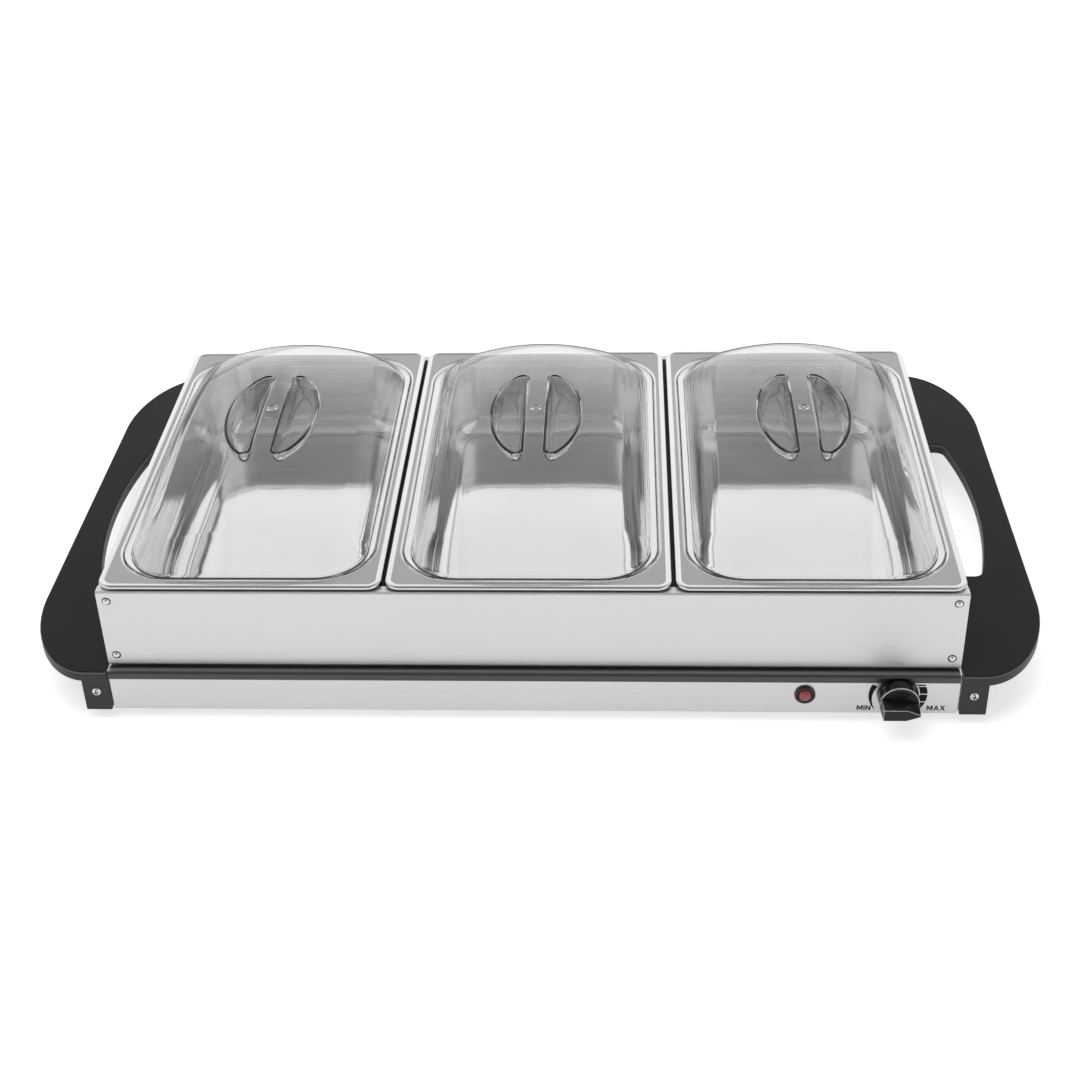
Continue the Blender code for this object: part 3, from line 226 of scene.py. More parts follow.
polish = {
    "mirror": (0.88, 0.88, 0.875),
    # painted highlight: the pale tone of the corner patches
    "cornerHighlight": (0.97, 0.97, 0.965),
    # painted shade: the dark band where the floor bends up
    "bendShadeTone": (0.20, 0.20, 0.20),
    "dull": [(0.3, (0.36, 0.36, 0.358)), (0.7, (0.51, 0.51, 0.507))],
    # painted shade on the walls, plain on the front and back walls and streaked as painted reflection on the side walls
    "wallShade": [(0.30, 0.50), (0.70, 0.64)],
    "wallShadeStreaks": [(0.32, 0.30), (0.44, 0.54), (0.58, 0.62), (0.68, 0.90)],
    # masks: the first four run over shares of the pan's half width, half length and height
    "sideWall": [(0.68, 0.0), (0.80, 1.0)],
    "cornerAcross": [(0.52, 0.0), (0.76, 1.0)],
    "cornerAlong": [(0.62, 0.0), (0.82, 1.0)],
    "cornerLevel": [(0.04, 0.0), (0.26, 1.0), (0.60, 1.0), (0.88, 0.0)],
    "walls": [(0.03, 0.0), (0.10, 1.0), (0.88, 1.0), (0.93, 0.0)],
    "bendShade": [(0.29, 0.0), (0.37, 1.0), (0.48, 0.0)],  # painted shade over the lowest twentieth, where the floor's bend begins
    "flange": [(0.10, 0.0), (0.42, 1.0), (0.56, 1.0), (0.80, 0.0)],  # over the top millimetre
    "rough": 0.075,
    "flangeRough": 0.20,
    "cornerRough": 0.17,
}


def drawnSteel(name, low, high, pitch):
    # polished pan: mirror bright on the floor and the rolled rim; painted shade on the drawn walls, with painted
    # reflection streaks on the side walls; a painted highlight in the corners and a band of painted shade where the
    # floor bends up;
    # grained on the flange; low and high are the middle pan's corners, pitch the way to the next
    maker, p = Finish(name), polish
    across, along, height = maker.axes()
    across = across.sum("PINGPONG", pitch / 2) * (2 / (high.x - low.x))
    along = (along - (low.y + high.y) / 2).sum("ABSOLUTE") * (2 / (high.y - low.y))
    level = (height - low.z) * (1 / (high.z - low.z))
    # where the corners' painted highlight goes
    corner = (maker.ramp(across, p["cornerAcross"], True) * maker.ramp(along, p["cornerAlong"], True)
              * maker.ramp(level, p["cornerLevel"], True))
    flange = maker.ramp((height - high.z) * 1000 + 1.0, p["flange"])
    # the band of painted shade where the floor bends up
    bendShade = maker.ramp(level * 20, p["bendShade"]) * 0.6
    lines = maker.noise(1.0, 3.0, 0.65, (12, 12, 760))
    # painted shade on the walls, with painted reflection streaks on the side walls
    drawn = maker.blend(maker.ramp(across, p["sideWall"]), maker.ramp(lines, p["wallShade"]), maker.ramp(lines, p["wallShadeStreaks"]))
    tone = maker.blend(maker.ramp(level, p["walls"]), p["mirror"], drawn)
    # painted highlight in the corners, then painted shade along the floor's bend
    tone = maker.blend(bendShade, maker.blend(corner, tone, p["cornerHighlight"]), p["bendShadeTone"])
    tone = maker.blend(flange, tone, maker.ramp(maker.noise(1400.0), p["dull"]))
    streak = maker.noise(1.0, 3.0, 0.6, (60, 8, 200))
    fine = maker.noise(1.0, stretch=(700, 60, 700))
    cloud = maker.noise(16.0)
    roughness = p["rough"] + flange * p["flangeRough"] + corner * p["cornerRough"]
    roughness = roughness + (streak - 0.5) * 0.06 + (cloud - 0.5) * 0.03
    pulled = maker.bump(streak, 0.22, 0.0006, maker.bump(cloud, 0.10, 0.003))
    # the corners' painted highlight is also less metallic, so that it shows as a pale patch
    return maker.dress(Base_Color=tone, Metallic=1 - corner * 0.6, Roughness=roughness,
                       Normal=maker.bump(fine, 0.02, 0.0003, pulled))


def mottled(name, noises, stops, rough, spread, strength=0.0, distance=0.0002, **fixed):
    # tone, roughness and surface each follow a noise, given as its scale and detail
    maker = Finish(name, **fixed)
    tone, sheen, pits = (maker.noise(*noise) for noise in noises)
    if strength:
        maker.dress(Normal=maker.bump(pits, strength, distance))
    return maker.dress(Base_Color=maker.ramp(tone, stops), Roughness=rough + (sheen - 0.5) * spread)


def platedMetal(name, tint, rough):
    noises = ((120.0,), (900.0,), (900.0,))
    return mottled(name, noises, [(0.3, tint - 0.05), (0.7, tint + 0.03)], rough, 0.12, 0.03, Metallic=1.0)


def dullSheet(name):
    # galvanised sheet with its faint crystal pattern
    maker = Finish(name, Metallic=0.9)
    crystals = maker.add("ShaderNodeTexVoronoi", None, {"Vector": maker.place(), "Scale": 140.0}, out="Color")
    tone = maker.blend(0.25, (0.52, 0.53, 0.54), crystals)
    grey = maker.add("ShaderNodeHueSaturation", None, {"Saturation": 0.0, "Color": tone})
    return maker.dress(Base_Color=grey, Roughness=0.42 + (maker.noise(30.0) - 0.5) * 0.2)


def handlePlastic(name, top):
    # matt black top face; smoother sides painted greyer, as painted light, and a painted highlight along the rounded
    # edge
    maker = Finish(name, Specular_IOR_Level=0.12)
    mottleNoise = maker.noise(38.0, 3.0)
    below = (maker.axes()[2] - top) * 250 + 1.0 + (mottleNoise - 0.5) * 0.06
    # painted light: the sides greyer than the top face, and a painted highlight in a band 0.8 mm below the top
    tone = maker.ramp(below, [(0.0, 0.078), (0.66, 0.074), (0.80, 0.21), (0.90, 0.050), (0.955, 0.0135)])
    face = maker.ramp(below, [(0.80, 0.0), (0.95, 1.0)])
    return maker.dress(Base_Color=tone, Roughness=0.34 + face * 0.12 + (mottleNoise - 0.5) * 0.10,
                       Normal=maker.bump(maker.noise(1600.0), 0.12, 0.0002))


def clearPlastic(name):
    maker = Finish(name, Base_Color=(0.985, 0.99, 0.985), IOR=1.34, Transmission_Weight=1.0)
    return maker.dress(Roughness=maker.ramp(maker.noise(22.0), [(0.4, 0.0), (0.9, 0.02)]))


def redGlass(name):
    maker = Finish(name, Coat_Weight=1.0, Coat_Roughness=0.04, Roughness=0.18)
    cells = maker.add("ShaderNodeTexVoronoi", None, {"Vector": maker.place(), "Scale": 900.0}, out="Distance")
    return maker.dress(Base_Color=maker.ramp(cells, [(0.0, (0.52, 0.05, 0.07)), (0.8, (0.30, 0.02, 0.03))]))


def glintPlastic(name, colour, glint):
    # glossy black plastic whose rounded edges, marked by an attribute, carry a painted highlight
    maker = Finish(name, Specular_IOR_Level=0.4)
    edge = maker.add("ShaderNodeAttribute", {"attribute_name": "edge"}, out="Fac")
    mottleNoise = maker.noise(160.0, 3.0)
    tone = maker.blend(edge * maker.ramp(mottleNoise, [(0.25, 0.55), (0.65, 1.0)]), colour, glint)
    return maker.dress(Base_Color=tone, Roughness=0.20 + (mottleNoise - 0.5) * 0.10, Normal=maker.bump(mottleNoise, 0.02, 0.0002))


def wovenSleeve(name):
    maker = Finish(name)
    weave = maker.add("ShaderNodeTexWave", {"bands_direction": "DIAGONAL"},
                      {"Vector": maker.place(), "Scale": 900.0, "Distortion": 1.0}, out="Fac")
    tone = maker.ramp(weave, [(0.2, (0.58, 0.57, 0.52)), (0.8, (0.80, 0.79, 0.74))])
    return maker.dress(Base_Color=tone, Roughness=0.75 + (weave - 0.5) * 0.2, Normal=maker.bump(weave, 0.3, 0.0003))


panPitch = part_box("pan_right")[0].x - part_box("pan_centre")[0].x
ringTones = [(0.35, (0.0276, 0.00552, 0.00736)), (0.7, (0.033, 0.0066, 0.0088))]
rubberTones = [(0.35, (0.022, 0.022, 0.023)), (0.8, (0.06, 0.059, 0.057))]
clayTones = [(0.3, (0.70, 0.67, 0.60)), (0.7, (0.84, 0.82, 0.76))]
finishes = {
    "panelX": sheetSteel("satin_steel_long", "X"),
    "panelY": sheetSteel("satin_steel_short", "Y"),
    "frameX": sheetSteel("frame_steel_long", "X", 0.83, 0.41, 0.88),
    # the deck's front ledge carries painted shade
    "deck": sheetSteel("deck_steel_painted_ledge_shade", "X", ledge=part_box("warming_plate")[0].y),
    "pan": drawnSteel("polished_pan_steel", *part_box("pan_centre"), panPitch),
    "inner": dullSheet("galvanised_sheet"),
    "rail": sheetSteel("shaded_rail_steel", "Y", 0.05, 0.60),
    "heater": platedMetal("heater_tube", 0.30, 0.42),
    "handle": handlePlastic("black_handle_plastic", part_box("left_handle")[1].z),
    "knob": glintPlastic("black_knob_plastic", (0.006, 0.006, 0.0065), (0.80, 0.80, 0.80)),
    "plated": platedMetal("nickel_plate", 0.82, 0.2),
    "bright": platedMetal("bright_rivet_steel", 0.86, 0.07),
    "clear": clearPlastic("clear_lid_plastic"),
    "lens": redGlass("red_lens"),
    "bezel": mottled("lamp_ring_plastic", ((38.0, 3.0), (38.0, 3.0), (500.0,)), ringTones, 0.16, 0.10, 0.02),
    "rubber": mottled("foot_rubber", ((160.0, 3.0),) * 3, rubberTones, 0.75, 0.2, 0.15, 0.0003, Specular_IOR_Level=0.3),
    "ink": mottled("black_ink", ((400.0,),) * 3, [(0.3, 0.006), (0.7, 0.011)], 0.45, 0.1, Specular_IOR_Level=0.15),
    "clay": mottled("terminal_clay", ((500.0, 3.0),) * 3, clayTones, 0.65, 0.2, 0.2),
    "sleeve": wovenSleeve("lead_sleeve"),
}
print("finishes ready")


# shared mesh tools

def paint(mesh, finish):
    mesh.materials.clear()
    mesh.materials.append(finishes[finish])


def newPiece(name, mesh, finish):
    paint(mesh, finish)
    return addObject(name, mesh)


def settle(item):
    # turns a piece and its modifiers into one plain mesh
    bpy.context.view_layer.update()
    graph = bpy.context.evaluated_depsgraph_get()
    plain = bpy.data.meshes.new_from_object(item.evaluated_get(graph), preserve_all_data_layers=True, depsgraph=graph)
    item.modifiers.clear()
    item.data = plain
    return item


def soften(item, angle=35, bevel=0.0, segments=3, mark=False):
    # small round edges and weighted normals, so that flat faces stay flat in reflections
    if bevel:
        edge = item.modifiers.new("edge", "BEVEL")
        edge.material = 1 if mark else -1
        edge.width = bevel
        edge.segments = segments
        edge.limit_method = "ANGLE"
        edge.angle_limit = radians(angle)
        edge.miter_outer = "MITER_ARC"
    settle(item)
    item.data.shade_smooth()
    item.data.set_sharp_from_angle(angle=radians(angle))
    even = item.modifiers.new("even", "WEIGHTED_NORMAL")
    even.keep_sharp = True
    even.weight = 100
    return settle(item)


def markEdges(item):
    # turns the faces in a second material slot into an attribute that the finish reads
    mesh = item.data
    marks = [float(face.material_index == 1) for face in mesh.polygons]
    mesh.attributes.new("edge", "FLOAT", "FACE").data.foreach_set("value", marks)
    mesh.polygons.foreach_set("material_index", [0] * len(marks))
    while len(mesh.materials) > 1:
        mesh.materials.pop()
    return item


def keep(item, body, slotName, *replaced):
    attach(item, body)
    if replaced:
        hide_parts(*replaced)
    return item


def carve(item, tool, operation="DIFFERENCE"):
    change = item.modifiers.new("carve", "BOOLEAN")
    change.operation = operation
    change.object = tool
    change.solver = "EXACT"
    settle(item)
    bpy.data.objects.remove(tool)
    return item


def meshFrom(name, build):
    bmesh.ops.recalc_face_normals(build, faces=build.faces)
    mesh = bpy.data.meshes.new(name)
    build.to_mesh(mesh)
    build.free()
    return mesh


def loft(name, rings, finish, closed=True):
    # joins rings of equal counts; a ring of one point is a tip
    build = bmesh.new()
    rows = [[build.verts.new(point) for point in ring] for ring in rings]
    for lower, upper in zip(rows, rows[1:]):
        count = max(len(lower), len(upper))
        for step in range(count):
            after = (step + 1) % count
            corners = [lower[step % len(lower)], lower[after % len(lower)],
                       upper[after % len(upper)], upper[step % len(upper)]]
            build.faces.new(list(dict.fromkeys(corners)))
    if closed:
        for row in (rows[0], rows[-1]):
            if len(row) > 1:
                build.faces.new(row)
    return newPiece(name, meshFrom(name, build), finish)


def block(name, corner, opposite, finish="plated"):
    # a box between two opposite corners, given in any order
    xs, ys, zs = (sorted(pair) for pair in zip(corner, opposite))
    outline = [(xs[0], ys[0]), (xs[1], ys[0]), (xs[1], ys[1]), (xs[0], ys[1])]
    return loft(name, [[(x, y, z) for x, y in outline] for z in zs], finish)


def arc(centre, radius, start, finish, steps):
    # points of a circle between two angles in degrees
    turns = [radians(start + (finish - start) * step / steps) for step in range(steps + 1)]
    return [(centre[0] + radius * cos(t), centre[1] + radius * sin(t)) for t in turns]


def bendPath(corners, radius, steps=5):
    # rounds the inner corners of an open path
    path = [Vector(corners[0])]
    for before, here, after in zip(corners, corners[1:], corners[2:]):
        here = Vector(here)
        toBefore = (Vector(before) - here).normalized()
        toAfter = (Vector(after) - here).normalized()
        half = acos(max(-1, min(1, toBefore.dot(toAfter)))) / 2
        reach = radius / tan(half)
        middle = here + (toBefore + toAfter).normalized() * (radius / sin(half))
        start, finish = here + toBefore * reach - middle, here + toAfter * reach - middle
        spread = pi - 2 * half
        for share in (step / steps for step in range(steps + 1)):
            path.append(middle + (start * sin((1 - share) * spread) + finish * sin(share * spread)) / sin(spread))
    return path + [Vector(corners[-1])]


def sidestep(path, distance):
    # shifts an open path to its left
    spans = [(after - before).normalized() for before, after in zip(path, path[1:])]
    leans = [Vector((-span.y, span.x)) for span in spans]
    moved = []
    for index, here in enumerate(path):
        beside = leans[max(index - 1, 0):index + 1]
        mitre = sum(beside, Vector((0, 0))).normalized()
        moved.append(here + mitre * (distance / mitre.dot(beside[0])))
    return moved


def foldedSheet(name, corners, radius, thickness, low, high, axis, finish):
    # a sheet with round bends, its thickness laid to the left of its path
    path = bendPath(corners, radius)
    outline = path + sidestep(path, thickness)[::-1]
    order = {"X": (2, 0, 1), "Y": (0, 2, 1)}[axis]
    rings = [[[(u, v, level)[index] for index in order] for u, v in outline] for level in (low, high)]
    return loft(name, rings, finish)


def turned(name, profile, place, direction, finish, count=48, capped=True):
    # a profile of radii and heights in millimetres, turned about a line
    turn = Vector(direction).to_track_quat("Z", "Y")
    angles = [2 * pi * step / count for step in range(count)]
    rings = []
    for radius, height in ((radius * mm, height * mm) for radius, height in profile):
        ring = [(radius * cos(a), radius * sin(a), height) for a in angles] if radius else [(0, 0, height)]
        rings.append([Vector(place) + turn @ Vector(point) for point in ring])
    return loft(name, rings, finish, capped)


def roundedBox(halfX, halfY, radius, steps=14, sideSteps=1):
    signs = ((1, 1), (-1, 1), (-1, -1), (1, -1))
    corners = [arc((x * (halfX - radius), y * (halfY - radius)), radius, 90 * quarter, 90 * quarter + 90, steps)
               for quarter, (x, y) in enumerate(signs)]
    outline = []
    for corner, after in zip(corners, corners[1:] + corners[:1]):
        (x, y), (nextX, nextY) = corner[-1], after[0]
        shares = [step / sideSteps for step in range(1, sideSteps)]
        outline += corner + [(x + (nextX - x) * share, y + (nextY - y) * share) for share in shares]
    return outline


# pans

pan = {
    "sheet": 0.7 * mm,
    "marginSide": 7.4 * mm,  # rim edge to the bowl's opening
    "marginEnd": 8.4 * mm,
    "rimCorner": 9 * mm,
    "rimRound": 1.4 * mm,
    "rimCrown": 1.0 * mm,  # flat top of the rolled edge
    "rimFall": 1.8 * mm,  # width of the slope down to the flange
    "flangeDrop": 0.5 * mm,
    "openingCorner": 36 * mm,
    "lipWide": 3.0 * mm,
    "lipDeep": 2.0 * mm,
    "stepDepth": 3.5 * mm,
    "stepRound": 0.8 * mm,
    "ledge": 5 * mm,
    "brow": 1.2 * mm,  # rounding between the ledge and the wall
    "draft": 5.4,  # degrees
    "floorRound": 13.3 * mm,
}


def panProfiles(top, floor):
    # the rim's and the bowl's paths on the upper side: (inset, height) from the rim's edge
    flange = top - pan["flangeDrop"]
    rim = arc((pan["rimRound"], top - pan["rimRound"]), pan["rimRound"], 235, 90, 12)
    start = pan["rimRound"] + pan["rimCrown"]
    for share in (0.0, 0.15, 0.3, 0.5, 0.7, 0.85, 1.0):
        ease = share * share * (3 - 2 * share)
        rim.append((start + share * pan["rimFall"], top - ease * pan["flangeDrop"]))
    lip = [(pan["lipWide"] * (sin(a) - 1), flange - pan["lipDeep"] * (1 - cos(a)))
           for a in (radians(10 * k) for k in range(10))]
    shelf = top - pan["stepDepth"]
    step = arc((pan["stepRound"], shelf + pan["stepRound"]), pan["stepRound"], 180, 270, 4)
    edge, drop = pan["ledge"] + pan["sheet"], pan["brow"]
    draft = radians(pan["draft"])
    brow = arc((edge - drop, shelf - drop), drop, 90, pan["draft"], 6)
    radius = pan["floorRound"]
    fall = shelf - drop - (floor + radius * (1 - sin(draft)))
    wallFoot = edge + fall * tan(draft)
    fillet = arc((wallFoot + radius * cos(draft), floor + radius), radius, 180 + pan["draft"], 270, 12)
    bowl = [Vector((x + pan["marginSide"], z)) for x, z in lip + step + brow + fillet]
    return [Vector(p) for p in rim], bowl


def makePan(label):
    node = f"pan_{label}"
    low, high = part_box(node)
    centre = middleOf(node)
    halfX, halfY, _ = ((b - a) / 2 for a, b in zip(low, high))
    rim, bowl = panProfiles(high.z, low.z + pan["sheet"])

    def rimRing(p):
        outline = roundedBox(halfX - p.x, halfY - p.x, pan["rimCorner"] - p.x)
        return [(centre.x + x, centre.y + y, p.y) for x, y in outline]

    def bowlRing(p):
        past = p.x - pan["marginSide"]
        outline = roundedBox(halfX - p.x, halfY - pan["marginEnd"] - past, pan["openingCorner"] - past)
        return [(centre.x + x, centre.y + y, p.y) for x, y in outline]

    under = sidestep(rim + bowl, -pan["sheet"])
    rings = [bowlRing(p) for p in bowl[::-1]] + [rimRing(p) for p in rim[::-1]]
    rings += [rimRing(p) for p in under[:len(rim)]] + [bowlRing(p) for p in under[len(rim):]]
    item = loft(f"drawn_pan_{label}", rings, "pan")
    keep(soften(item, 40), f"pan_{label}_body", "polished_steel", node)


for label in panNames:
    makePan(label)
print("pans ready")


# lids: a domed shell with two finger pockets beside a grip bar

lid = {
    "wall": 2.0,  # all in millimetres until the mesh is made
    "flange": 4.2,
    "edge": 0.8,  # rounding of the flange's rim
    "corner": 35.4,
    "shoulder": 16.0,
    "crownX": 152.0,
    "crownY": 451.0,
    "gripX": 28.5,
    "gripY": 56.0,
    "bar": 15.3,
    "pocketCorner": 3.5,
    "pocketDepth": 13.0,
    "pocketDraft": 12.0,  # degrees
    "mouth": 1.2,
    "innerMouth": 0.5,
    "foot": 6.0,
    "gateRadius": 3.1,
    "gateHeight": 0.45,
}


def wallProfile(mouth, mouthRound, footRound, steps=6):
    # the pocket's wall from the dome to its floor: distance inside the mouth, and depth
    lean = radians(90 - lid["pocketDraft"])
    depth = lid["pocketDepth"]
    turns = [lean * k / steps for k in range(steps + 1)]
    top = [(mouth + mouthRound * sin(t), mouthRound * (1 - cos(t))) for t in turns]
    tail = footRound * (1 - cos(lean))
    run = (depth - tail - top[-1][1]) * tan(radians(lid["pocketDraft"]))
    foot = top[-1][0] + run + footRound * sin(lean)
    return top + [(foot - footRound * sin(t), depth - footRound * (1 - cos(t))) for t in turns[::-1]]


def wallMouths():
    # where the outer and the inner wall begin, so that the wall keeps its thickness
    draft = radians(lid["pocketDraft"])
    slope = tan(draft)
    share = cos(draft) - (1 - sin(draft)) * slope
    outer = -lid["mouth"] + 0.2
    line = outer + lid["mouth"] * share
    return outer, line + lid["wall"] * slope - lid["wall"] / cos(draft) - lid["innerMouth"] * share


def pocketSeed():
    # the pocket's core, whose offsets are its outlines: points with outward directions, for the right-hand pocket
    radius = lid["pocketCorner"]
    sizeX, sizeY = lid["gripX"] - radius, lid["gripY"] - radius
    limit = acos((lid["bar"] / 2 + radius) / sizeX)
    seed = []
    for t in (-limit + 2 * limit * k / 40 for k in range(41)):
        out = Vector((cos(t) / sizeX, sin(t) / sizeY)).normalized()
        seed.append((Vector((sizeX * cos(t), sizeY * sin(t))), out))
    tip, foot = seed[-1], seed[0]
    start = atan2(tip[1].y, tip[1].x)
    fan = [start + (pi - start) * k / 8 for k in range(1, 8)]
    seed += [(tip[0], Vector((cos(turn), sin(turn)))) for turn in fan]
    seed += [(tip[0].lerp(foot[0], k / 20), Vector((-1, 0))) for k in range(21)]
    seed += [(foot[0], Vector((cos(turn), -sin(turn)))) for turn in fan[::-1]]
    return seed


class LidSkin:
    # one side of the shell as a height over the plan, in millimetres
    def __init__(self, halfX, halfY, rise, upper):
        self.halfX, self.halfY, self.upper = halfX, halfY, upper
        wall, (outer, inner) = lid["wall"], wallMouths()
        self.foot = lid["flange"] + (0 if upper else wall)
        self.base = wall if upper else 0.0
        self.rise = rise - (0.0 if upper else wall)
        if upper:
            self.profile = wallProfile(outer, lid["mouth"], lid["foot"])
        else:
            self.profile = wallProfile(inner, lid["innerMouth"], lid["foot"] + wall)
        self.seed = pocketSeed()
        self.core = np.array([tuple(p) for p, _ in self.seed])

    def inset(self, x, y):
        r = lid["corner"]
        qx, qy = np.abs(x) - (self.halfX - r), np.abs(y) - (self.halfY - r)
        outside = np.hypot(np.maximum(qx, 0), np.maximum(qy, 0))
        return r - outside - np.minimum(np.maximum(qx, qy), 0)

    def coreDistance(self, x, y):
        # distance to the pocket's core; both pockets are mirror images
        px, py = np.abs(x), y
        best = np.full(px.shape, 1e9)
        inside = np.ones(px.shape, bool)
        for (ax, ay), (bx, by) in zip(self.core, np.roll(self.core, -1, axis=0)):
            dx, dy = bx - ax, by - ay
            length = dx * dx + dy * dy
            if length < 1e-9:
                continue
            t = np.clip(((px - ax) * dx + (py - ay) * dy) / length, 0, 1)
            best = np.minimum(best, np.hypot(px - ax - t * dx, py - ay - t * dy))
            inside &= (dx * (py - ay) - dy * (px - ax)) >= 0
        return np.where(inside, -best, best)

    def height(self, x, y):
        x, y = np.asarray(x, float), np.asarray(y, float)
        crown = self.rise - x * x / (2 * lid["crownX"]) - y * y / (2 * lid["crownY"])
        u = np.clip((self.inset(x, y) - self.foot) / lid["shoulder"], 0, 1)
        dome = self.base + (crown - self.base) * np.sqrt(np.maximum(0, 1 - (1 - u) ** 2))
        if self.upper:  # the mark that the moulding gate leaves
            r = np.hypot(x, y)
            ring, dot = ((r - lid["gateRadius"]) / 0.55) ** 2, (r / 0.9) ** 2
            dome = dome + lid["gateHeight"] * (np.exp(-ring) + 0.8 * np.exp(-dot))
        edge = lid["edge"]
        lift = edge - np.sqrt(np.maximum(0, edge ** 2 - (edge - np.clip(self.inset(x, y), 0, edge)) ** 2))
        dome = dome - lift if self.upper else dome + lift
        s = lid["pocketCorner"] - self.coreDistance(x, y)
        depth = np.interp(s, *zip(*self.profile))
        floor = self.rise - lid["pocketDepth"]
        return dome - (dome - floor) * depth / lid["pocketDepth"]

    def ring(self, inset):
        return roundedBox(self.halfX - inset, self.halfY - inset, lid["corner"] - inset, 16, 22)

    def loops(self):
        insets = [lid["edge"] * (1 - cos(radians(a))) for a in (0, 20, 40, 60, 90)]
        insets += [self.foot * 0.5, self.foot - 0.25]
        insets += [self.foot + lid["shoulder"] * (1 - cos(radians(a))) for a in (0, 6, 14, 23, 33, 44, 56, 68, 80, 90)]
        insets += [self.foot + lid["shoulder"] + extra for extra in (4, 10)]
        made = [self.ring(inset) for inset in insets]
        for mirror in (1, -1):
            for distance, _ in self.profile:
                reach = lid["pocketCorner"] - distance
                loop = [p + out * reach for p, out in self.seed]
                if reach < 0:
                    off = self.coreDistance(np.array([p.x for p in loop]), np.array([p.y for p in loop])) - reach
                    loop = [p for p, miss in zip(loop, off) if abs(miss) < 0.03]
                made.append([(mirror * p.x, p.y) for p in loop])
        if self.upper:
            for r in (0.6, 1.2, 1.9, 2.5, 2.9, 3.3, 3.7, 4.3):
                made.append([(r * cos(pi * k / 8), r * sin(pi * k / 8)) for k in range(16)])
        return made

    def fill(self):
        # plain points over the crown and the pocket floors, clear of the loops
        xs, ys = np.meshgrid(np.arange(-60, 61, 5.0), np.arange(-124, 125, 5.5))
        xs, ys = xs.ravel() + np.where((np.arange(xs.size) // xs.shape[1]) % 2, 2.5, 0.0), ys.ravel()
        free = (self.inset(xs, ys) > self.foot + lid["shoulder"] + 12.5) & (np.hypot(xs, ys) > 6)
        s = lid["pocketCorner"] - self.coreDistance(xs, ys)
        free &= (s < self.profile[0][0] - 2.0) | (s > self.profile[-1][0] + 1.5)
        return list(zip(xs[free], ys[free]))


def skinMesh(skin):
    # the skin's points, faces and normals
    points, edges, loops = [], [], skin.loops()
    for loop in loops:
        start, count = len(points), len(loop)
        points += [Vector(p) for p in loop]
        edges += [(start + k, start + (k + 1) % count) for k in range(count)]
    points += [Vector(p) for p in skin.fill()]
    flat, _, faces, _, _, _ = geometry.delaunay_2d_cdt(points, edges, [list(range(len(loops[0])))], 1, 1e-4)
    x, y = (np.array([p[axis] for p in flat]) for axis in (0, 1))
    d = 0.04
    slopeX = (skin.height(x + d, y) - skin.height(x - d, y)) / (2 * d)
    slopeY = (skin.height(x, y + d) - skin.height(x, y - d)) / (2 * d)
    normals = np.stack([-slopeX, -slopeY, np.ones_like(x)], 1)
    normals /= np.linalg.norm(normals, axis=1)[:, None]
    return np.stack([x, y, skin.height(x, y)], 1), faces, normals


def planKeys(points):
    return [(round(p[0], 3), round(p[1], 3)) for p in points]


def makeLid(label):
    node = f"lid_{label}"
    low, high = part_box(node)
    centre = middleOf(node)
    halfX, halfY, halfZ = ((b - a) / 2 / mm for a, b in zip(low, high))
    upper, lower = (LidSkin(halfX, halfY, halfZ * 2, outward) for outward in (True, False))
    topPoints, topFaces, topNormals = skinMesh(upper)
    lowPoints, lowFaces, lowNormals = skinMesh(lower)
    shift = len(topPoints)
    faces = [tuple(f) for f in topFaces] + [tuple(v + shift for v in reversed(f)) for f in lowFaces]
    # the edge between both skins, found by place because the fill renumbers points
    above, below = ({key: k for k, key in enumerate(planKeys(points))} for points in (topPoints, lowPoints))
    rim = planKeys(upper.ring(0))
    for key, after in zip(rim, rim[1:] + rim[:1]):
        faces.append((above[key], below[key] + shift, below[after] + shift, above[after]))
    mesh = bpy.data.meshes.new(f"clear_lid_{label}")
    points = np.vstack([topPoints, lowPoints])
    mesh.from_pydata([(centre.x + x * mm, centre.y + y * mm, low.z + z * mm) for x, y, z in points], [], faces)
    mesh.validate()
    mesh.shade_smooth()
    item = newPiece(f"clear_lid_{label}", mesh, "clear")
    if mesh.polygons[0].normal.z < 0:
        mesh.flip_normals()
    mesh.normals_split_custom_set_from_vertices([tuple(normal) for normal in np.vstack([topNormals, -lowNormals])])
    item.visible_shadow = False
    keep(item, f"lid_{label}_body", "clear_plastic", node)


for label in panNames:
    makeLid(label)
print("lids ready")


# buffet frame

frameSheet = {
    "sheet": 0.8 * mm,
    "flange": 7 * mm,
    "hem": 6 * mm,
    "bend": 1.3 * mm,
    "railBend": 1.0 * mm,
    "tab": 15 * mm,
    "play": 0.3 * mm,  # between a notch and the sheet that passes it
    "shadowGap": 0.8 * mm,
    "rimGap": 0.7 * mm,
}


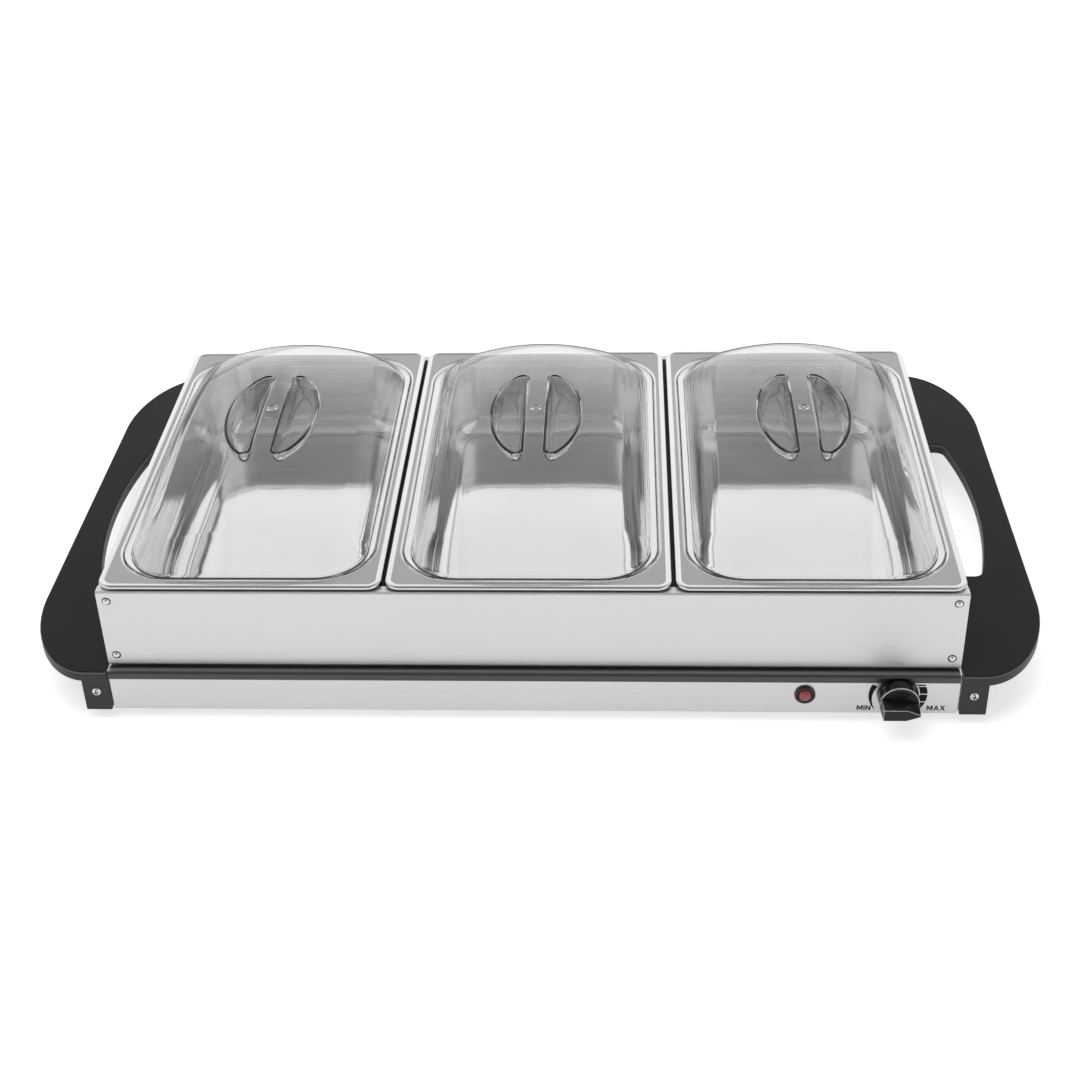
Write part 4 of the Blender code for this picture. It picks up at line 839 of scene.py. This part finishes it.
def makeFrame():
    s = frameSheet
    low = Vector((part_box("frame_left")[0].x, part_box("frame_front")[0].y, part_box("frame_front")[0].z))
    high = Vector((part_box("frame_right")[1].x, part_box("frame_back")[1].y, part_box("frame_front")[1].z - s["rimGap"]))
    outer = {-1: low, 1: high}
    gap = s["sheet"] + s["play"]
    under = high.z - gap - s["bend"]
    for label, end in ends.items():
        face = outer[end].y
        foot = low.z + s["shadowGap"]  # the ends carry the frame, so the faces hang just clear of the base
        corners = [(face - end * s["flange"], high.z), (face, high.z), (face, foot), (face - end * s["hem"], foot)]
        item = foldedSheet(f"frame_face_{label}", corners, s["bend"], -end * s["sheet"], low.x, high.x, "X", "frameX")
        for side in (-1, 1):
            edge = outer[side].x
            carve(item, block("notch", (edge - side * gap, face - end * (gap + s["bend"]), low.z - 2 * mm),
                              (edge + side * 2 * mm, face - end * (s["hem"] + 2 * mm), foot + gap)))
        keep(soften(item, 30), "frame", "stainless_steel", f"frame_{label}")
    for label, side in sides.items():
        face = outer[side].x
        corners = [(face - side * s["flange"], high.z), (face, high.z), (face, low.z), (face - side * s["hem"], low.z)]
        item = foldedSheet(f"frame_end_{label}", corners, s["bend"], side * -s["sheet"],
                           low.y + gap, high.y - gap, "Y", "panelY")
        for end in (-1, 1):
            edge = outer[end].y
            carve(item, block("notch", (face + side * mm, edge - end * (s["flange"] + s["play"]), under),
                              (face - side * (s["flange"] + mm), edge, high.z + mm)))
            carve(item, block("notch", (face - side * gap, edge - end * (s["hem"] + s["play"]), low.z - mm),
                              (face - side * (s["hem"] + mm), edge, low.z + gap)))
            carve(item, block("tab", (face - side * s["sheet"] / 2, edge - end * gap, low.z + gap),
                              (face - side * s["tab"], edge - end * (gap + s["sheet"]), under)), "UNION")
        keep(soften(item, 30), "frame", "stainless_steel", f"frame_{label}")
    for label in sides:
        a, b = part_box(f"cross_rail_{label}")
        corners = [(a.x, a.z), (a.x, b.z), (b.x, b.z), (b.x, a.z)]
        item = foldedSheet(f"pan_rail_{label}", corners, s["railBend"], -s["sheet"], a.y, b.y, "Y", "rail")
        keep(soften(item, 30), "frame", "stainless_steel", f"cross_rail_{label}")


makeFrame()
print("buffet frame ready")


# base housing

housing = {"sheet": 0.8 * mm, "bend": 1.2 * mm, "plateBend": 1.5 * mm}


def makeHousing():
    s = housing["sheet"]
    low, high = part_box("warming_plate")
    corners = [(low.y, low.z), (low.y, high.z), (high.y, high.z), (high.y, low.z)]
    item = foldedSheet("warming_top", corners, housing["plateBend"], -s, low.x, high.x, "X", "deck")
    keep(soften(item, 30), "base", "stainless_steel", "warming_plate")
    for label, end in ends.items():
        node = f"{label}_panel"
        low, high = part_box(node)
        face, inner = (low.y, high.y) if end < 0 else (high.y, low.y)
        corners = [(inner, high.z), (face, high.z), (face, low.z), (inner, low.z)]
        item = foldedSheet(f"base_face_{label}", corners, housing["bend"], -end * s, low.x, high.x, "X", "panelX")
        keep(soften(item, 30), "base", "stainless_steel", node)


makeHousing()
print("housing ready")


# handles

handle = {
    "cornerX": 45 * mm,
    "cornerY": 78 * mm,
    "cornerPower": 1.85,
    "round": 1.5 * mm,
    "footRound": 0.4 * mm,
    "grip": 19.5 * mm,
    "holeEnd": 107 * mm,
    "holeBow": 10.5 * mm,
    "holeCorner": 6.5 * mm,
    "wall": 2.6 * mm,
    "thickness": 7 * mm,
    "ribShare": 0.47,  # of the way from the middle to the hand hole's end
    "rib": 2 * mm,
    "tabWidth": 16.2 * mm,
    "tab": 3 * mm,
    "tabRound": 0.7 * mm,
    "gusset": 24 * mm,
}


def superCurve(centre, size, power, start, finish, steps=26):
    # points of a squarish ellipse between two quarter turns
    points = []
    for step in range(steps + 1):
        turn = radians(90) * (start + (finish - start) * step / steps)
        c, s = cos(turn), sin(turn)
        points.append((centre[0] + size[0] * copysign(abs(c) ** (2 / power), c),
                       centre[1] + size[1] * copysign(abs(s) ** (2 / power), s)))
    return points


def handHole(inset, reach, halfY):
    # the hole's bowed outer edge between two round corners, from back to front, and where its arc is centred
    half, bow, corner = halfY - handle["holeEnd"], handle["holeBow"], handle["holeCorner"]
    radius = (half ** 2 + bow ** 2) / (2 * bow)
    centre = reach - handle["grip"] - radius
    along = half - corner
    across = sqrt((radius - corner) ** 2 - along ** 2)
    lean = degrees(atan2(along, across))
    back = arc((centre + across, along), corner + inset, 90, lean, 10)[:-1]
    middle = arc((centre, 0), radius + inset, lean, -lean, 28)
    return back + middle + [(x, -y) for x, y in back[::-1]], centre, radius


def handleOutline(inset, innerX, reach, halfY):
    corner = (reach - handle["cornerX"], halfY - handle["cornerY"])
    size = (handle["cornerX"] - inset, handle["cornerY"] - inset)
    inner = innerX + inset
    front = superCurve((corner[0], -corner[1]), size, handle["cornerPower"], -1, 0)
    back = superCurve(corner, size, handle["cornerPower"], 0, 1)
    edge = halfY - handle["holeEnd"] + inset
    hole = [(inner, edge)] + handHole(inset, reach, halfY)[0] + [(inner, -edge)]
    return [(inner, -halfY + inset)] + front + back + [(inner, halfY - inset)] + hole


def makeHandle(label, side):
    h, node = handle, f"{label}_handle"
    low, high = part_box(node)
    innerX, reach = (value * side for value in ((high.x, low.x) if side < 0 else (low.x, high.x)))
    middle, halfY = (low.y + high.y) / 2, (high.y - low.y) / 2
    top, under, wall = high.z, high.z - h["thickness"], h["wall"]
    inside = top - wall / 2

    def ring(inset, z):
        return [(side * x, middle + y, z) for x, y in handleOutline(inset, innerX, reach, halfY)]

    turns = [radians(15 * k) for k in range(7)]
    rings = [ring(h["footRound"], under), ring(0, under + h["footRound"])]
    rings += [ring(h["round"] * (1 - cos(a)), top - h["round"] * (1 - sin(a))) for a in turns]
    item = loft(f"moulded_handle_{label}", rings, "handle")
    carve(item, loft("hollow", [ring(wall, under - 2 * mm), ring(wall, top - wall)], "handle"))
    _, bowCentre, bowRadius = handHole(0, reach, halfY)
    ribY = (halfY - h["holeEnd"]) * h["ribShare"]
    gripInner = bowCentre + sqrt(bowRadius ** 2 - ribY ** 2) + wall / 2
    for end in (-1, 1):
        y = middle + end * ribY
        carve(item, block("rib", (side * gripInner, y - h["rib"] / 2, under + wall / 2),
                          (side * (reach - wall / 2), y + h["rib"] / 2, inside)), "UNION")
        face = low.y if end < 0 else high.y
        tab = block("tab", (side * innerX, face, low.z),
                    (side * (innerX + h["tabWidth"]), face - end * h["tab"], inside), "handle")
        carve(item, soften(tab, 35, h["tabRound"], 4), "UNION")
        start, stop = face - end * h["tab"] / 2, face - end * h["gusset"]
        outline = [(start, low.z + wall), (start, inside), (stop, inside), (stop, under)]
        outer = sorted(side * (innerX + h["tabWidth"] - gap) for gap in (wall / 4, wall))
        carve(item, loft("gusset", [[(x, y, z) for y, z in outline] for x in outer], "handle"), "UNION")
    keep(soften(item, 28), "base", "handle_plastic", node)


for label, side in sides.items():
    makeHandle(label, side)
print("handles ready")


# control knob, dial and lamp

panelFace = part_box("front_panel")[0].y
knobAxis = middleOf("thermostat_shaft")

knob = {
    "radius": 12.4,  # all in millimetres until the mesh is made
    "taper": 0.5,
    "clearance": 1.7,
    "skirt": 7.5,
    "recess": 2.0,  # width of the rim round the hollow back
    "edge": 0.6,
    "barLength": 23.4,
    "barHeight": 11.4,
    "barThickness": 8.2,
    "nose": 8.8,
    "noseTip": 1.5,
    "barEdge": 0.22,
}


def makeKnob():
    k = knob
    start, front, edge = k["clearance"], k["clearance"] + k["skirt"], k["edge"]
    radius, inner, top = k["radius"], k["radius"] - k["recess"], k["radius"] - k["taper"]
    profile = [(0, start + 1.5), (inner, start + 1.5), (inner, start), (radius - 0.3, start), (radius, start + 0.3)]
    profile += arc((top - edge, front - edge), edge, 0, 90, 6) + [(0, front)]
    drum = turned("knob_drum", profile, (knobAxis.x, panelFace, knobAxis.z), (0, -1, 0), "knob", 96)
    half, nose = k["barThickness"] / 2, k["barLength"] / 2
    shoulder, tip = nose - k["nose"], k["noseTip"] / 2
    outline = [(-nose, -half), (shoulder, -half), (nose, -tip), (nose, tip), (shoulder, half), (-nose, half)]
    rings = [[(knobAxis.x + u * share * mm, panelFace - (front + level) * mm, knobAxis.z + v * share * mm)
              for u, v in outline] for level, share in ((-1.5, 1.0), (k["barHeight"], 0.94))]
    bar = loft("knob_bar", rings, "knob")
    # the drum's front rim and the bar's rounded edges go to a second slot, which markEdges turns into the attribute for
    # the painted highlight
    for item in (drum, bar):
        item.data.materials.append(finishes["plated"])
    for part in drum.data.polygons:
        reach = hypot(part.center.x - knobAxis.x, part.center.z - knobAxis.z)
        if part.center.y < panelFace - (front - 0.75 * edge) * mm and reach > (top - 0.9 * edge) * mm:
            part.material_index = 1
    soften(bar, 25, k["barEdge"] * mm, 3, True)
    carve(drum, bar, "UNION")
    keep(markEdges(soften(drum, 28)), "knob", "knob_plastic", "control_knob")


makeKnob()

dial = {
    "radius": 17.65,  # all in millimetres until the mesh is made
    "inner": 13.1,
    "print": 0.05,
    "blocks": ((7.8, 6.75), (6.05, 0.85), (0.15, -5.05), (-5.75, -13.0)),  # heights of the right-hand blocks
    "crescent": (154, 222),  # degrees
    "crescentWidth": 3.6,
    "textHeight": 3.7,
    "textSpace": 0.12,  # of its height
    "textDrop": 12.1,
    "words": (("MIN", 203.1), ("MAX", 246.7)),  # each word with its place along the panel
}


def flatPrint(name, outlines):
    # thin printed shapes laid on the front panel; outlines are in millimetres from the knob's axis
    build = bmesh.new()
    for outline in outlines:
        rows = [[build.verts.new((knobAxis.x + x * mm, panelFace - lift * mm, knobAxis.z + z * mm)) for x, z in outline]
                for lift in (0.01, dial["print"])]
        for k in range(len(outline)):
            after = (k + 1) % len(outline)
            build.faces.new((rows[0][k], rows[0][after], rows[1][after], rows[1][k]))
        for row in rows:
            build.faces.new(row)
    return keep(newPiece(name, meshFrom(name, build), "ink"), "base", "stainless_steel")


def makeDial():
    outer, inner = dial["radius"], dial["inner"]
    outlines = []
    for high, low in dial["blocks"]:
        heights = [high + (low - high) * k / 10 for k in range(11)]
        right = [(sqrt(outer ** 2 - z ** 2), z) for z in heights]
        outlines.append(right + [(sqrt(max(inner ** 2 - z ** 2, 0)), z) for z in heights[::-1]])
    # the crescent on the left thins towards its lower end
    first, last = dial["crescent"]
    inside = []
    for k in range(24):
        turn = radians(first + (last - first) * k / 24)
        radius = outer - dial["crescentWidth"] * (1 - k / 24) ** 0.8
        inside.append((radius * cos(turn), radius * sin(turn)))
    outlines.append(arc((0, 0), outer, first, last, 24) + inside[::-1])
    flatPrint("dial_marks", outlines)


letters = {  # plain bold strokes on a height of one: width, then outlines
    "M": (0.98, (((0, 0), (0, 1), (0.27, 1), (0.49, 0.45), (0.71, 1), (0.98, 1), (0.98, 0), (0.77, 0), (0.77, 0.62),
                  (0.57, 0.12), (0.41, 0.12), (0.21, 0.62), (0.21, 0)),)),
    "I": (0.22, (((0, 0), (0, 1), (0.22, 1), (0.22, 0)),)),
    "N": (0.82, (((0, 0), (0, 1), (0.23, 1), (0.61, 0.36), (0.61, 1), (0.82, 1), (0.82, 0), (0.59, 0), (0.21, 0.64),
                  (0.21, 0)),)),
    "A": (0.92, (((0, 0), (0.35, 1), (0.57, 1), (0.92, 0), (0.70, 0), (0.63, 0.22), (0.56, 0.40), (0.46, 0.72),
                  (0.36, 0.40), (0.29, 0.22), (0.22, 0)), ((0.29, 0.22), (0.36, 0.40), (0.56, 0.40), (0.63, 0.22)))),
    "X": (0.88, (((0, 0), (0.32, 0.51), (0.02, 1), (0.27, 1), (0.45, 0.69), (0.63, 1), (0.87, 1), (0.57, 0.51),
                  (0.88, 0), (0.63, 0), (0.44, 0.33), (0.25, 0)),)),
}


def makeWord(text, place):
    size, space = dial["textHeight"], dial["textSpace"]
    width = sum(letters[sign][0] for sign in text) + space * (len(text) - 1)
    start, outlines = (place - knobAxis.x / mm) / size - width / 2, []
    for sign in text:
        across, shapes = letters[sign]
        outlines += [[((start + x) * size, z * size - dial["textDrop"]) for x, z in shape] for shape in shapes]
        start += across + space
    flatPrint(f"dial_word_{text.lower()}", outlines)


makeDial()
for text, place in dial["words"]:
    makeWord(text, place)

lamp = {
    "ring": 6.35,  # all in millimetres until the mesh is made
    "ringHeight": 1.9,
    "ringRound": 0.9,
    "seat": 3.9,
    "dome": 1.9,
}


def makeLamp():
    centre = middleOf("indicator_lens")
    place = (centre.x, panelFace, centre.z)
    r, h, seat, edge = (lamp[key] for key in ("ring", "ringHeight", "seat", "ringRound"))
    profile = [(0, 0.3), (r, 0.3), (r, h * 0.45)] + arc((r - edge, h - edge), edge, 0, 80, 4)
    profile += [(seat + 0.5, h), (seat + 0.1, h - 0.3), (seat, h - 0.8), (0, h - 0.8)]
    ring = soften(turned("lamp_ring", profile, place, (0, -1, 0), "bezel", 64), 35)
    keep(ring, "base", "lens_plastic")
    start, rise, radius = h - 0.75, lamp["dome"], seat - 0.1
    dome = [(radius * cos(radians(a)), start + 0.4 + rise * sin(radians(a))) for a in (0, 12, 24, 36, 48, 60, 72, 82)]
    dome = [(0, start), (radius, start)] + dome + [(0, start + 0.4 + rise)]
    lens = soften(turned("lamp_lens", dome, place, (0, -1, 0), "lens"), 50)
    keep(lens, "base", "lens_plastic", "indicator_lens")


makeLamp()
print("knob, dial and lamp ready")


# fasteners and feet: one head placed at every point

def placerTree():
    tree = bpy.data.node_groups.new("place_at_points", "GeometryNodeTree")
    for name, sort in (("Geometry", "Geometry"), ("Head", "Object"), ("Finish", "Material")):
        tree.interface.new_socket(name, in_out="INPUT", socket_type=f"NodeSocket{sort}")
    tree.interface.new_socket("Geometry", in_out="OUTPUT", socket_type="NodeSocketGeometry")
    start, finish, head, facing, spin, turn, twist, angle, place, real, coat = (tree.nodes.new(kind) for kind in (
        "NodeGroupInput", "NodeGroupOutput", "GeometryNodeObjectInfo", "GeometryNodeInputNamedAttribute",
        "GeometryNodeInputNamedAttribute", "FunctionNodeAlignRotationToVector", "FunctionNodeRotateRotation",
        "FunctionNodeAxisAngleToRotation", "GeometryNodeInstanceOnPoints", "GeometryNodeRealizeInstances",
        "GeometryNodeSetMaterial"))
    facing.data_type = "FLOAT_VECTOR"
    facing.inputs["Name"].default_value = "facing"
    spin.data_type = "FLOAT"
    spin.inputs["Name"].default_value = "spin"
    turn.axis = "Z"
    twist.rotation_space = "LOCAL"
    for source, output, target, entry in (
        (start, "Geometry", place, "Points"),
        (start, "Head", head, "Object"),
        (head, "Geometry", place, "Instance"),
        (facing, "Attribute", turn, "Vector"),
        (turn, "Rotation", twist, "Rotation"),
        (spin, "Attribute", angle, "Angle"),
        (angle, "Rotation", twist, "Rotate By"),
        (twist, "Rotation", place, "Rotation"),
        (place, "Instances", real, "Geometry"),
        (real, "Geometry", coat, "Geometry"),
        (start, "Finish", coat, "Material"),
        (coat, "Geometry", finish, "Geometry"),
    ):
        tree.links.new(source.outputs[output], target.inputs[entry])
    return tree


placer = placerTree()


def placeAll(name, head, spots, finish, body, slotName, *replaced):
    # spots are (place, facing, spin in degrees)
    mesh = bpy.data.meshes.new(name)
    mesh.from_pydata([tuple(s[0]) for s in spots], [], [])
    mesh.attributes.new("facing", "FLOAT_VECTOR", "POINT")
    mesh.attributes.new("spin", "FLOAT", "POINT")
    mesh.attributes["facing"].data.foreach_set("vector", [value for s in spots for value in s[1]])
    mesh.attributes["spin"].data.foreach_set("value", [radians(s[2]) for s in spots])
    item = newPiece(name, mesh, finish)
    modifier = item.modifiers.new("place", "NODES")
    modifier.node_group = placer
    values = {"Head": head, "Finish": finishes[finish]}
    for entry in placer.interface.items_tree:
        if entry.in_out == "INPUT" and entry.name in values:
            modifier[entry.identifier] = values[entry.name]
    settle(item)
    for attribute in ("facing", "spin"):
        if attribute in item.data.attributes:
            item.data.attributes.remove(item.data.attributes[attribute])
    bpy.data.objects.remove(head)
    return keep(item, body, slotName, *replaced)


def spotsOf(kind, carrier="", out=None, turn=0, step=0, tails=("",)):
    # a spot for each node of a kind, on the outer face of its carrier or else on the floor, and the nodes' names
    spots, names = [], []
    for endName, end in ends.items():
        for sideName in sides:
            for tail in tails:
                node = f"{kind}_{endName}_{sideName}{tail}"
                facing = Vector(out or (0, end, 0))
                axis = 2 if out else 1
                place = middleOf(node)
                place[axis] = 0
                if carrier:
                    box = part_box(carrier.format(end=endName, side=sideName))
                    place[axis] = box[0 if facing[axis] < 0 else 1][axis]
                spots.append((place, facing, turn + step * len(spots)))
                names.append(node)
    return spots, names


def headShape(name, profile, finish, count, angle=None, capped=True):
    # a shape turned about the upright axis, for placeAll
    item = turned(name, profile, (0, 0, 0), (0, 0, 1), finish, count, capped)
    return item if angle is None else soften(item, angle)


screw = {"radius": 2.9, "slot": 0.75, "cross": 1.7}  # all in millimetres until the mesh is made
rivet = {"radius": 2.2, "crown": 1.5, "foot": 0.2, "shank": 1.2}
foot = {"radius": 9, "height": 5.5}


def crossHead(height, shank, length):
    # a domed screw head with a cross recess, its seat at zero
    radius = screw["radius"]
    profile = [(0, -length), (shank, -length), (shank, 0), (radius * 0.96, 0), (radius, height * 0.14)]
    profile += [(radius * cos(radians(a)) ** 0.9, height * (0.14 + 0.86 * sin(radians(a)))) for a in (18, 36, 52, 66, 78)]
    item = headShape("screw_head", profile + [(0, height)], "plated", 32)
    for turn in (0, 90):
        reach, half = screw["cross"] * mm, screw["slot"] / 2 * mm
        slot = block("slot", (-reach, -half, -0.2 * mm), (reach, half, height * 2 * mm))
        slot.data.transform(Matrix.Rotation(radians(turn), 4, "Z"))
        carve(item, slot)
    return soften(item, 32)


def makeFasteners():
    spots, names = spotsOf("handle_screw", "{side}_handle", None, 20, 55)
    placeAll("handle_screws", crossHead(1.9, 1.6, 9), spots, "plated", "base", "plated_steel", *names)

    spots, names = spotsOf("rivet", "frame_{end}", tails=("_low", "_high"))
    r, crown, rise, shank = (rivet[key] for key in ("radius", "crown", "foot", "shank"))
    profile = [(0, -1.6), (shank, -1.6), (shank, 0), (r - 0.3, 0), (r, rise)]
    profile += [(r * cos(radians(a)), rise + crown * sin(radians(a))) for a in (12, 24, 36, 48, 60, 72, 82)]
    shape = headShape("rivet_head", profile + [(0, rise + crown)], "plated", 24, 40)
    placeAll("frame_rivets", shape, spots, "bright", "frame", "plated_steel", *names)
    # a dark ring round each rivet, painted shade laid just proud of the sheet
    seat = [(2.0, 0.01), (2.75, 0.01), (2.65, 0.08), (2.0, 0.08), (2.0, 0.01)]
    shape = headShape("rivet_seat", seat, "rail", 24, capped=False)
    placeAll("rivet_seats", shape, spots, "rail", "frame", "stainless_steel")

    spots, names = spotsOf("cover_screw", "bottom_cover", (0, 0, -1), 0, 35)
    placeAll("cover_screws", crossHead(1.7, 1.5, 6), spots, "plated", "base", "plated_steel", *names)

    spots, names = spotsOf("foot", out=(0, 0, 1))
    r, h = foot["radius"], foot["height"]
    profile = [(0, 0.5), (3.4, 0.5), (3.8, 0), (r - 1.6, 0), (r - 0.8, 0.3), (r - 0.45, 1.1), (r, h - 1.2), (r, h - 0.3),
               (r - 0.3, h), (2.6, h), (2.6, h + 1.4), (3.4, h + 1.4), (2.6, h + 4), (0, h + 4)]
    shape = headShape("foot_shape", profile, "rubber", 40, 40)
    placeAll("rubber_feet", shape, spots, "rubber", "base", "foot_rubber", *names)


makeFasteners()


def makeInlet():
    # the supply inlet's moulded bush in the back panel
    centre = middleOf("cable_gland")
    place = (centre.x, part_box("back_panel")[1].y, centre.z)
    profile = [(0, -8), (5.6, -8), (5.6, 0.3), (7.3, 0.3), (7.5, 0.6), (7.5, 2.1), (7.1, 2.5), (5.9, 2.6), (5.5, 3.0),
               (4.9, 7.6), (4.5, 8), (3.9, 8), (3.6, 7.7), (3.6, -4), (0, -4)]
    bush = soften(turned("inlet_bush", profile, place, (0, 1, 0), "handle"), 35)
    keep(bush, "base", "handle_plastic", "cable_gland")


makeInlet()
print("fasteners, feet and inlet ready")


# finishes on the solids that stay

solidFinishes = {
    "panelY": ("left_end_wall", "right_end_wall"),
    "inner": ("bottom_cover", "heat_reflector", "element_clamp_left", "element_clamp_right"),
    "heater": ("heating_element",),
    "clay": ("thermostat", "terminal_block"),
    "plated": ("thermostat_nut", "thermostat_shaft", "thermal_fuse"),
    "knob": ("indicator_holder",),
    "sleeve": ("lead_supply", "lead_thermostat", "lead_element", "lead_fuse"),
}
for finish, names in solidFinishes.items():
    for name in names:
        paint(nodes[name].data, finish)


# studio: pale floor, soft light, a bright wall behind and a dim room in front

studio = {
    "floor": 14.0,
    "floorTone": 0.86,
    "cameraGlow": 0.60,  # what the camera sees beside the lit floor, so that it reads as white
    "glossGlow": 0.22,
    "ambient": 0.60,
    "frontTone": 0.34,
    "backTone": 1.0,
    "sideTone": 0.95,
    "topTone": 0.34,
    "lampAim": (0, 0, 0.05),
    "lamps": (  # name, place, size and power
        ("key", (-0.6, -0.5, 1.9), 1.4, 13.0),
        ("top", (0.3, 0.6, 2.1), 1.8, 12.0),
        ("fill", (1.6, -1.2, 1.2), 1.2, 3.0),
    ),
}


def makeFloor():
    half = studio["floor"] / 2
    mesh = bpy.data.meshes.new("floor")
    mesh.from_pydata([(-half, -half, 0), (half, -half, 0), (half, half, 0), (-half, half, 0)], [], [(0, 1, 2, 3)])
    material = bpy.data.materials.new("pale_floor")
    material.use_nodes = True
    tree = material.node_tree
    maker = Maker(tree)
    tree.nodes.remove(tree.nodes["Principled BSDF"])
    eye, gloss = maker.rays()
    cover = maker.add("ShaderNodeBsdfDiffuse", None, {"Color": (studio["floorTone"],) * 3})
    strength = eye * studio["cameraGlow"] + gloss * studio["glossGlow"]
    glow = maker.add("ShaderNodeEmission", None, {"Color": (1, 1, 1), "Strength": strength})
    both = maker.add("ShaderNodeAddShader", None, {0: cover, 1: glow})
    maker.feed(tree.nodes["Material Output"].inputs["Surface"], both)
    mesh.materials.append(material)
    floor = addObject("floor", mesh)


def makeWorld():
    world = bpy.data.worlds.new("studio")
    bpy.context.scene.world = world
    world.use_nodes = True
    maker = Maker(world.node_tree)
    across, depth, height = maker.axes("Generated")
    front, back = studio["frontTone"], studio["backTone"]
    wall = [(0.0, front), (0.30, front), (0.52, (front + back) / 2), (0.62, back)]
    wall = maker.ramp(depth * 0.5 + 0.5, wall, True)
    beside = maker.ramp(across * across, [(0.19, 0.0), (0.44, 1.0)], True)
    walls = maker.blend(beside, wall, (studio["sideTone"],) * 3)
    sky = maker.ramp(height, [(0.48, 0.0), (0.62, 0.26), (0.72, 0.32), (0.88, 1.0)])
    room = maker.blend(sky, walls, (studio["topTone"],) * 3)
    eye, gloss = maker.rays()
    strength = gloss * (1 - studio["ambient"]) + studio["ambient"]
    background = world.node_tree.nodes["Background"]
    maker.feed(background.inputs["Color"], maker.blend(eye, room, (1, 1, 1)))
    maker.feed(background.inputs["Strength"], strength.sum("MAXIMUM", eye))


def makeLamps():
    for name, place, size, power in studio["lamps"]:
        data = bpy.data.lights.new(name, "AREA")
        data.size = size
        data.energy = power
        item = addObject(name, data)
        item.visible_glossy = item.visible_transmission = False  # soft light, without its own outline in the pans
        item.location = place
        item.rotation_euler = (Vector(studio["lampAim"]) - Vector(place)).to_track_quat("-Z", "Y").to_euler()


makeFloor()
makeWorld()
makeLamps()
bpy.context.scene.view_settings.view_transform = "Standard"
print("studio ready")
